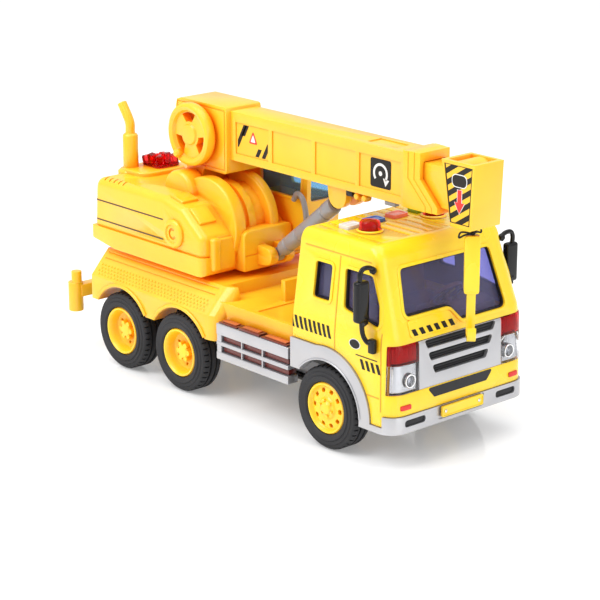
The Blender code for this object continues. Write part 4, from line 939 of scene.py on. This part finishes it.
def make_underside():
    for node in ("chassis_frame", "friction_housing", "battery_cover"):
        carried(node, "black", "truck", 0.5)
    carried("battery_pack", "wrap", "truck", 0.8)
    ribs = [block("rib", (-14 + 6 * k, -12 + 6 * k), (-15, 15), (17.1, 17.7)) for k in range(9)]
    group("cover_grips", ribs, 0.2, "black", "truck")
    screws = []
    for x, y in ((-17.5, 0), (41.5, 0)):
        screw = turned("screw", [(0, 17.0), (1.4, 17.0), (2.0, 17.4), (2.0, 17.8), (0, 17.8)], (x, y, 0),
                       "Z", 24)
        screws.append(cut(screw, block("cross", (x - 1.3, x + 1.3), (-0.25, 0.25), (16, 17.3))))
    group("cover_screws", screws, 0, "steel", "truck")
    for axle in AXLE_X:
        carried(f"{axle}_axle", "steel", f"{axle}_wheels", 0.15)
    carried("flywheel", "steel", "flywheel", 0.1)
    for word in ("right", "left"):
        carried(f"stabiliser_{word}", "golden", f"stabiliser_{word}", 0.7, 3)
    carried("cab_interior", "brown", "truck", 0.8, 3)
    carried("sound_board", "board", "truck", 0.1)


# ---------------------------------------------------------------- turret

CHEEK, CHEEK_R, DRUM_R = (-50.0, 93.0), 27.0, 21.0
HOUSE_Z, HOUSE_TOP, TRAY_TOP = 69.0, 110.0, 80.0


def make_house():
    upper = rounded([(-126, TRAY_TOP - 2), (-27.6, TRAY_TOP - 2), (-27.6, 91.5), (-46, 106), (-64, HOUSE_TOP),
                     (-129, HOUSE_TOP), (-131.2, TRAY_TOP - 2)], [0, 0, 5, 8, 6, 8, 0], 8)
    house = soften(prism("crane_house", upper, -43.2, 43.2, "Y"), 4.5, 6, 70)
    tray = rounded([(-110, HOUSE_Z), (-27, HOUSE_Z), (-27, TRAY_TOP), (-132, TRAY_TOP), (-132, 72.5)],
                   [0, 3, 0, 0, 2], 6)
    tray = prism("tray", tray, -44, 44, "Y")
    plan = rounded([(-132.5, -44), (-27, -44), (-27, 44), (-132.5, 44)], [2.5, 5.5, 5.5, 2.5], 8)
    keep(tray, prism("plan", plan, HOUSE_Z - 5, TRAY_TOP + 5, "Z"))
    fuse(house, tray)
    cut(house, block("ledge", (-60.3, 10), (17.7, 60), (71.7, 140)))
    for middle, half, tilt in (((-56.0, 108.9), 5.5, 12.5), ((-39.5, 101.8), 6.0, 38.0)):
        pad = soften(block("pad", (-half, half), (-6.0, 6.0), (-3.0, 0.9)), 0.6, 3)
        fuse(house, moved(pad, (middle[0], -33.0, middle[1]), tilt, "Y"))
    pilaster = prism("pilaster", oblong((-30.5, -38.0), (-24.2, -31.5), 2.6, 8), 71.5, 91.0, "Z")
    fuse(house, soften(pilaster, 2.0, 4, 60))
    front_panel = prism("panel", oblong((-37.0, 71.5), (-20.5, 90.0), 2.5), -28.5, -25.6, "X")
    fuse(house, soften(front_panel, 0.8, 3, 60))

    cheek = arc(CHEEK, CHEEK_R, -60, 120, 48) + [(-80, 104), (-80, 90), (-45, 70)]
    drum = arc(CHEEK, DRUM_R, -60, 130, 40) + [(-70, 90), (-45, 70)]
    ring = arc(CHEEK, DRUM_R + 2.2, -60, 118, 40) + [(-75, 98), (-45, 72)]
    bracket = arc((-70, 108.3), 13.0, 180, 0, 40) + [(-57, 100), (-83, 100)]
    for low, high in ((-22.5, -14.2), (4.0, 10.5)):
        fuse(house, soften(prism("cheek", cheek, low, high, "Y"), 1.4, 4, 60))
    fuse(house, soften(prism("near_lobe", bracket, -27.5, -14.2, "Y"), 2.6, 6, 60))
    fuse(house, soften(prism("far_lobe", bracket, 14.2, 17.7, "Y"), 1.0, 3, 60))
    fuse(house, prism("drum", drum, -14.6, 14.5, "Y"), prism("ring", ring, -9.0, -4.0, "Y"))
    plate = rounded([(-19, HOUSE_Z), (17.7, HOUSE_Z), (17.7, 93), (-19, 93)], [0, 0, 4, 5])
    plate = soften(prism("front_plate", plate, -29, -20, "X"), 1.0, 3, 60)
    cut(plate, block("line", (-20.4, -19), (-18, 17), (78.2, 78.9)))
    fuse(house, plate)
    ears = [(-24, 71.5), (-13, 73.0)] + arc(RAM_FOOT, 5.0, -90, 90, 18) + [(-24, 84)]
    for low, high in ((-9.0, -3.2), (3.2, 9.0)):
        fuse(house, soften(prism("ear", ears, low, high, "Y"), 0.6, 2, 60))
    platform = prism("platform", oblong((-130.5, -25.0), (-104.5, 10.5), 10, 12), 108, 112.6, "Z")
    fuse(house, soften(platform, 1.3, 4, 60))
    collar = turned("flange", [(0, 108), (8.5, 108), (8.5, 110.3), (6.8, 111.8), (0, 111.8)],
                    (-125.0, -18.0, 0), "Z", 40)
    boss = turned("boss", [(0, -41), (8.4, -41), (8.4, -44.6), (7.4, -45.6), (5.6, -45.6), (5.2, -44.8),
                           (0, -44.8)], (-53.0, 0, 90.0), "Y", 48)
    fuse(house, collar, boss)
    slot_ring = arc((-53, 90), 3.4, 60, 330, 20) + arc((-53, 90), 1.9, 330, 60, 20)
    slots = [prism("c_slot", slot_ring, -47, -43.9, "Y")]
    slots += [moved(block("vent", (-0.5, 0.5), (-2.6, 2.2), (-0.6, 3.0)), (-121.0 + 4.4 * k, -39.6, 109.2),
                    14) for k in range(5)]
    cut(house, joined("slots", slots), block("lug_room", (-79, -61), (-14.0, 14.0), (105.5, 130)),
        rod("pin_way", (LUFF[0], 0, LUFF[1]), 2.3, -22.5, 30, "Y"),
        rod("foot_way", (RAM_FOOT[0], 0, RAM_FOOT[1]), 2.0, -2.9, 2.9, "Y"))
    fuse(house, rod("turntable", (TURNTABLE_X, 0, 0), 34, 66.3, 70, "Z", 96),
         rod("post", (TURNTABLE_X, 0, 0), 12, 42, 70, "Z"))
    shown(soften(cleaned(house), 0.25, 2), "golden", "turret", "turret_house")
    lines = []
    for side in (RIGHT, LEFT):
        low, high = span(side, 43.0, 43.32)
        lines += [block("line", (-127.2, -63.5), (low, high), (z - 0.4, z + 0.4)) for z in (96.2, 84.4)]
    group("house_lines", lines, 0, "line", "turret")


def make_engine_lamp():
    chance = random.Random(7)
    crystals = []
    for i in range(3):
        for j in range(3):
            half, tall = chance.uniform(2.2, 2.9), chance.uniform(4.6, 8.6)
            stone = block("stone", (-half, half), (-half, half), (0, tall))
            soften(stone, 0.7, 1, 50)
            moved(stone, turn=chance.uniform(-14, 14), axis="X")
            moved(stone, turn=chance.uniform(-14, 14), axis="Y")
            crystals.append(moved(stone, (-122.2 + 5.5 * i, -8.0 + 5.5 * j, 113.6), chance.uniform(-20, 20)))
    base = prism("base", oblong((-125.5, -11.0), (-107.8, 6.0), 3.5), 112.8, 114.6, "Z")
    cluster = joined("engine_crystals", [*crystals, soften(base, 0.5)])
    shown(cluster, "red", "turret", "engine_lamp")
    for polygon in cluster.data.polygons:
        polygon.use_smooth = False


def make_turret():
    make_house()
    make_engine_lamp()
    x, y = EXHAUST_AT
    stack = [(x, y, 110.3), (x, y, 131.5), (x, y, 132.4), (x, y, 133.0)]
    bend = smooth_path([(x, y, 133.0), (x, y, 138.5), (x - 2.2, y, 142.8), (x - 7.5, y, 150.0)], 7)
    radii = [4.7, 4.6, 4.1, 3.0] + [2.9] * (len(bend) - 1)
    stack = tube("exhaust", stack + bend[1:], radii, 32, 2.0)
    shown(soften(stack, 0.2), "golden", "turret", "exhaust_stack")

    carried("operator_cab", "golden", "turret", 0.9, 3)
    carried("operator_glazing", "sky", "turret", 0)
    frames = []
    for y0, y1 in ((17.5, 18.2), (43.8, 44.5)):
        side = rounded([(-48, 107.5), (-13.5, 107.5), (-12, 127), (-48, 127)], 2.0)
        frames.append(cut(prism("frame", grown(side, 1.6), y0, y1, "Y"),
                          prism("open", side, y0 - 1, y1 + 1, "Y")))
    group("operator_frames", frames, 0.25, "golden", "turret")
    rail = [(-16, 15.2, 107), (-12, 14.2, 111.5), (-6.5, 13.2, 110), (-3.5, 13, 103), (-3.5, 13.5, 95),
            (-7, 15.0, 91), (-12, 15.4, 90)]
    shown(soften(tube("handrail", smooth_path(rail, 8), 1.6, 16), 0), "grey", "turret", "grab_rail")


# ---------------------------------------------------------------- boom

BOOM_BOTTOM, BOOM_TOP, COLLAR_TOP = 130.0, 158.4, 160.3
PANELS = [(-37.5, -9.2), (-6.0, 26.6), (29.8, 61.6), (64.8, 96.6)]
PANEL_Z = (134.4, 152.7)
PANEL_DEPTH = 0.8
HEAD_HALF = 10.8
PULLEY = (136.3, 150.5)
BAR_WIDTH = 3.0


def make_boom():
    boom = from_node("boom_beam", "boom_outer")
    recesses = []
    for side in (RIGHT, LEFT):
        low, high = span(side, 10.0 - PANEL_DEPTH, 12.0)
        recesses += [block("recess", panel, (low, high), PANEL_Z) for panel in PANELS]
    recesses.append(block("recess", (66, 88), (-5, 5), (BOOM_TOP - 0.7, BOOM_TOP + 1)))
    cut(boom, joined("recesses", recesses))
    steps = []
    for back, out in ((4.0, 11.5), (8.0, 12.0)):
        step = [(100, BOOM_BOTTOM), (124.5 - back, BOOM_BOTTOM), (124.5 - back, 133.0), (111.5 - back, 146.0),
                (111.5 - back, COLLAR_TOP), (100, COLLAR_TOP)]
        for side in (RIGHT, LEFT):
            low, high = span(side, 10.6, out)
            steps.append(prism("step", step, low, high, "Y"))
    for step in steps:
        fuse(boom, step)
    outline = [(-86.4, 123.4), (-43.6, 123.4), (-43.6, 158.6), (-86.4, 158.6)]
    for side in (RIGHT, LEFT):
        low, high = span(side, 12.6, 14.0)
        frame_line = cut(prism("line", outline, low, high, "Y"),
                         prism("in", grown(outline, -0.8), low - 1, high + 1, "Y"))
        cut(boom, frame_line)
    shown(soften(cleaned(boom), 0.55, 3), "golden", "boom", "boom_outer")
    carried("boom_pin", "steel", "boom", 0.3)
    stop = prism("boom_stop", oblong((52.5, 126.4), (57.5, 129.8), 0.6), -8, 8, "Y")
    shown(soften(stop, 0.3), "black", "boom")
    knobs = [turned("knob", [(0, -9.8), (1.5, -9.6), (2.1, -8.6), (2.1, -5.5), (0, -5.5)], (x, 0, 127.8),
                    "Y", 28) for x in (62.0, 68.0)]
    group("boom_knobs", knobs, 0, "golden", "boom")
    tag = prism("boom_tag", oblong((84.0, 127.6), (92.0, 129.9), 0.5), -9.5, -6.0, "Y")
    shown(soften(tag, 0.3), "grey", "boom")


def boom_marks():
    """Stickers in the recesses of both sides: hazard bars, a blank warning triangle and a swivel arrow."""
    skin = 10.0 - PANEL_DEPTH
    slants = ((-38.5, 138.5, 153), (-33.0, 145.5, 153), (-16.0, 134.5, 144.0), (-21.5, 134.5, 140.0))
    papers, bars, triangles, inner, plates, arrows = [], [], [], [], [], []
    for side in (RIGHT, LEFT):
        def sheet(name, outline, lift, side=side):
            low, high = span(side, skin - 0.1, skin + lift)
            return prism(name, outline, low, high, "Y")
        papers.append(sheet("paper", oblong((-36.6, 135.0), (-10.0, 152.2), 0.6), 0.06))
        field = grown(oblong((-36.6, 135.0), (-10.0, 152.2), 0.6), -0.3)
        for u, low, high in slants:
            lean = (high - low) * 0.55
            bar = sheet("bar", [(u, low), (u + BAR_WIDTH, low), (u + BAR_WIDTH + lean, high),
                                (u + lean, high)], 0.14)
            bars.append(keep(bar, sheet("field", field, 0.5)))
        triangles.append(sheet("sign", rounded([(-26.6, 142.2), (-19.2, 142.2), (-22.9, 149.6)], 0.8), 0.16))
        inner.append(sheet("sign", rounded([(-25.0, 143.1), (-20.8, 143.1), (-22.9, 147.6)], 0.5), 0.24))
        plates.append(sheet("plate", oblong((73.0, 136.0), (88.5, 151.6), 1.5), 0.16))
        ring = arc((80.7, 143.8), 5.6, -40, 220, 36) + arc((80.7, 143.8), 4.2, 220, -40, 36)
        arrows.append(sheet("arrow", ring, 0.26))
        arrows.append(sheet("head", [(87.3, 140.9), (82.7, 141.6), (84.6, 137.3)], 0.26))
        arrows.append(sheet("hub", arc((80.7, 143.8), 1.3, 0, 345, 23), 0.26))
    for name, parts, look in (("boom_paper", papers, "paper"), ("boom_bars", bars, "ink"),
                              ("boom_sign", triangles, "warning"), ("boom_sign_face", inner, "white"),
                              ("boom_plate", plates, "ink"), ("boom_arrow", arrows, "white")):
        group(name, parts, 0, look, "boom")


def make_head():
    head = from_node("boom_head", "boom_inner")
    side_line = [(133.5, 128.0), (147.2, 128.0), (148.6, 158.6), (128.6, 158.6)]
    for side in (RIGHT, LEFT):
        low, high = span(side, HEAD_HALF - 0.4, 12.0)
        cut(head, prism("recess", side_line, low, high, "Y"))
    cover = arc(PULLEY, 9.4, 165, 30, 24) + arc(PULLEY, 8.0, 30, 165, 24)
    fuse(head, prism("cover", cover, -9.2, 9.2, "Y"), rod("bar", (145.4, 0, 157.6), 1.1, -9.2, 9.2, "Y"))
    shown(soften(cleaned(head), 0.5, 3), "golden", "extension", "boom_inner")
    papers, bars, badges, arrows, rims = [], [], [], [], []
    for side in (RIGHT, LEFT):
        def sheet(name, outline, lift, side=side):
            low, high = span(side, HEAD_HALF - 0.5, HEAD_HALF - 0.4 + lift)
            return prism(name, outline, low, high, "Y")
        field = grown(side_line, -0.7)
        for k in range(9):
            low = 112.0 + 6.4 * k
            bar = sheet("bar", [(126, low), (150, low + 15), (150, low + 18.2), (126, low + 3.2)], 0.14)
            bars.append(keep(bar, sheet("field", field, 0.6)))
        border = sheet("border", side_line, 0.12)
        bars.append(cut(border, sheet("inside", grown(side_line, -0.9), 1.0)))
        oval = oblong((134.6, 147.6), (144.4, 153.6), 2.9, 8)
        pointer = [(138.4, 146.0), (141.2, 146.0), (141.2, 139.4), (143.2, 139.4), (139.8, 133.6),
                   (136.4, 139.4), (138.4, 139.4)]
        badges.append(sheet("badge", oval, 0.3))
        arrows.append(sheet("arrow", pointer, 0.3))
        rims += [sheet("rim", grown(oval, 0.5), 0.22), sheet("rim", grown(pointer, 0.4), 0.22)]
        papers.append(sheet("paper", field, 0.05))
    for name, parts, look in (("head_paper", papers, "paper"), ("head_bars", bars, "ink"),
                              ("head_rims", rims, "white"), ("head_badge", badges, "ink"),
                              ("head_arrow", arrows, "warning")):
        group(name, parts, 0, look, "extension")
    carried("head_pulley", "lemon", "pulley", 0.2)


def make_winch():
    x, z = WHEEL_AT
    profile = [(0, -20.6), (5.4, -20.6), (6.2, -19.6), (13.4, -19.4), (14.4, -21.2), (16.4, -21.9),
               (18.0, -21.2), (18.6, -19.4), (18.4, -16.6), (17.4, -14.9), (3.0, -14.6), (3.0, 12.5),
               (0, 12.5)]
    wheel = turned("crank_wheel", profile, (x, 0, z), "Y", 96)
    for k in range(3):
        middle = 95 + 120 * k
        opening = arc((x, z), 13.0, middle - 27, middle + 27, 12) + arc((x, z), 7.6, middle + 20, middle
                                                                        - 20, 8)
        cut(wheel, prism("opening", opening, -30, -14, "Y"))
    angle = math.radians(235)
    at = (x + 14.6 * math.cos(angle), 0, z + 14.6 * math.sin(angle))
    knob = turned("knob", [(0, -24.5), (1.6, -24.2), (2.5, -23.0), (2.6, -21.6), (2.2, -19.0), (0, -19.0)],
                  at, "Y", 32)
    fuse(wheel, knob)
    shown(soften(cleaned(wheel), 0.4, 3), "golden", "winch", "handwheel")
    carried("winch_drum", "black", "winch", 0.2)
    path = [(x + 6.7 * math.cos(a), -8.0 + 16.0 * t, z + 6.7 * math.sin(a))
            for t, a in ((k / 300, 2 * math.pi * 12 * k / 300) for k in range(301))]
    shown(soften(tube("wound_string", path, 0.6, 8), 0), "string", "winch")


def make_hook():
    carried("hook_block", "lemon", "hook", 0.7, 3)
    strands = []
    for phase in (0.0, math.pi):
        path = [(HOOK_AT[0] + 0.3 * math.cos(phase + 0.9 * k), HOOK_AT[1] + 0.3 * math.sin(phase + 0.9 * k),
                 121.3 + 30.7 * k / 72) for k in range(73)]
        strands.append(tube("strand", path, 0.34, 8))
    group("hoist_strands", strands, 0, "string", "hoist_line", "hoist_string")
    loops = []
    for side in (-1, 1):
        u = math.radians(90 + side * 12)
        path = [(0.0, 121.4), (side * 3.4, 122.8), (side * 7.4, 123.4), (side * 8.4, 120.8),
                (side * 4.6, 121.7), (0.0, 121.7)]
        loops.append(tube("loop", smooth_path([(HOOK_AT[0] + a * math.cos(u), HOOK_AT[1] + a * math.sin(u), b)
                                               for a, b in path], 8), 0.5, 8))
    knot = turned("knot", [(0, 121.0), (1.3, 121.3), (1.5, 122.1), (0.9, 122.9), (0, 123.1)], (*HOOK_AT, 0),
                  "Z", 20)
    group("string_knot", [*loops, knot], 0, "string", "hook")


def make_ram():
    lean = math.degrees(math.atan2(RAM_LUG[0] - RAM_FOOT[0], RAM_LUG[1] - RAM_FOOT[1]))
    length = math.hypot(RAM_LUG[0] - RAM_FOOT[0], RAM_LUG[1] - RAM_FOOT[1])
    wall = [(2.7, 9.0), (3.4, 7.0), (4.3, 7.0), (4.6, 8.0), (4.6, 13.0), (4.2, 13.4), (4.2, 14.2),
            (4.6, 14.6), (4.6, 25.0), (4.35, 25.2), (4.35, 25.8), (4.6, 26.0), (4.6, 52.0), (4.2, 52.4),
            (4.2, 53.2), (4.9, 53.6), (4.9, 60.5), (4.4, 61.6), (2.7, 62.0)]
    barrel = turned("ram_tube", wall, (0, 0, 0), "Z", 48)
    eye = turned("eye", [(1.2, -2.7), (3.5, -2.7), (3.9, -2.2), (3.9, 2.2), (3.5, 2.7), (1.2, 2.7)],
                 (0, 0, 0), "Y", 32)
    neck = block("neck", (-2.6, 2.6), (-2.6, 2.6), (2.6, 9.5))
    foot = (RAM_FOOT[0], 0, RAM_FOOT[1])
    barrel = moved(fuse(barrel, neck, eye), foot, lean, "Y")
    shown(soften(barrel, 0.15), "grey", "ram_barrel", "ram_barrel")
    shaft = [(0, 12.5), (2.1, 12.5), (2.35, 12.9), (2.35, length - 4), (2.0, length - 3), (0, length - 3)]
    piston = turned("ram_piston", shaft, (0, 0, 0), "Z", 40)
    top = turned("eye", [(1.0, -2.3), (2.8, -2.3), (3.1, -1.9), (3.1, 1.9), (2.8, 2.3), (1.0, 2.3)],
                 (0, 0, length), "Y", 32)
    piston = moved(fuse(piston, top), foot, lean, "Y")
    shown(soften(piston, 0.1), "steel", "ram_rod", "ram_rod")


def make_crane():
    make_boom()
    boom_marks()
    make_head()
    make_winch()
    make_hook()
    make_ram()


def main():
    make_studio()
    make_wheels()
    make_cab()
    make_deck()
    make_racks()
    make_underside()
    make_turret()
    make_crane()


main()
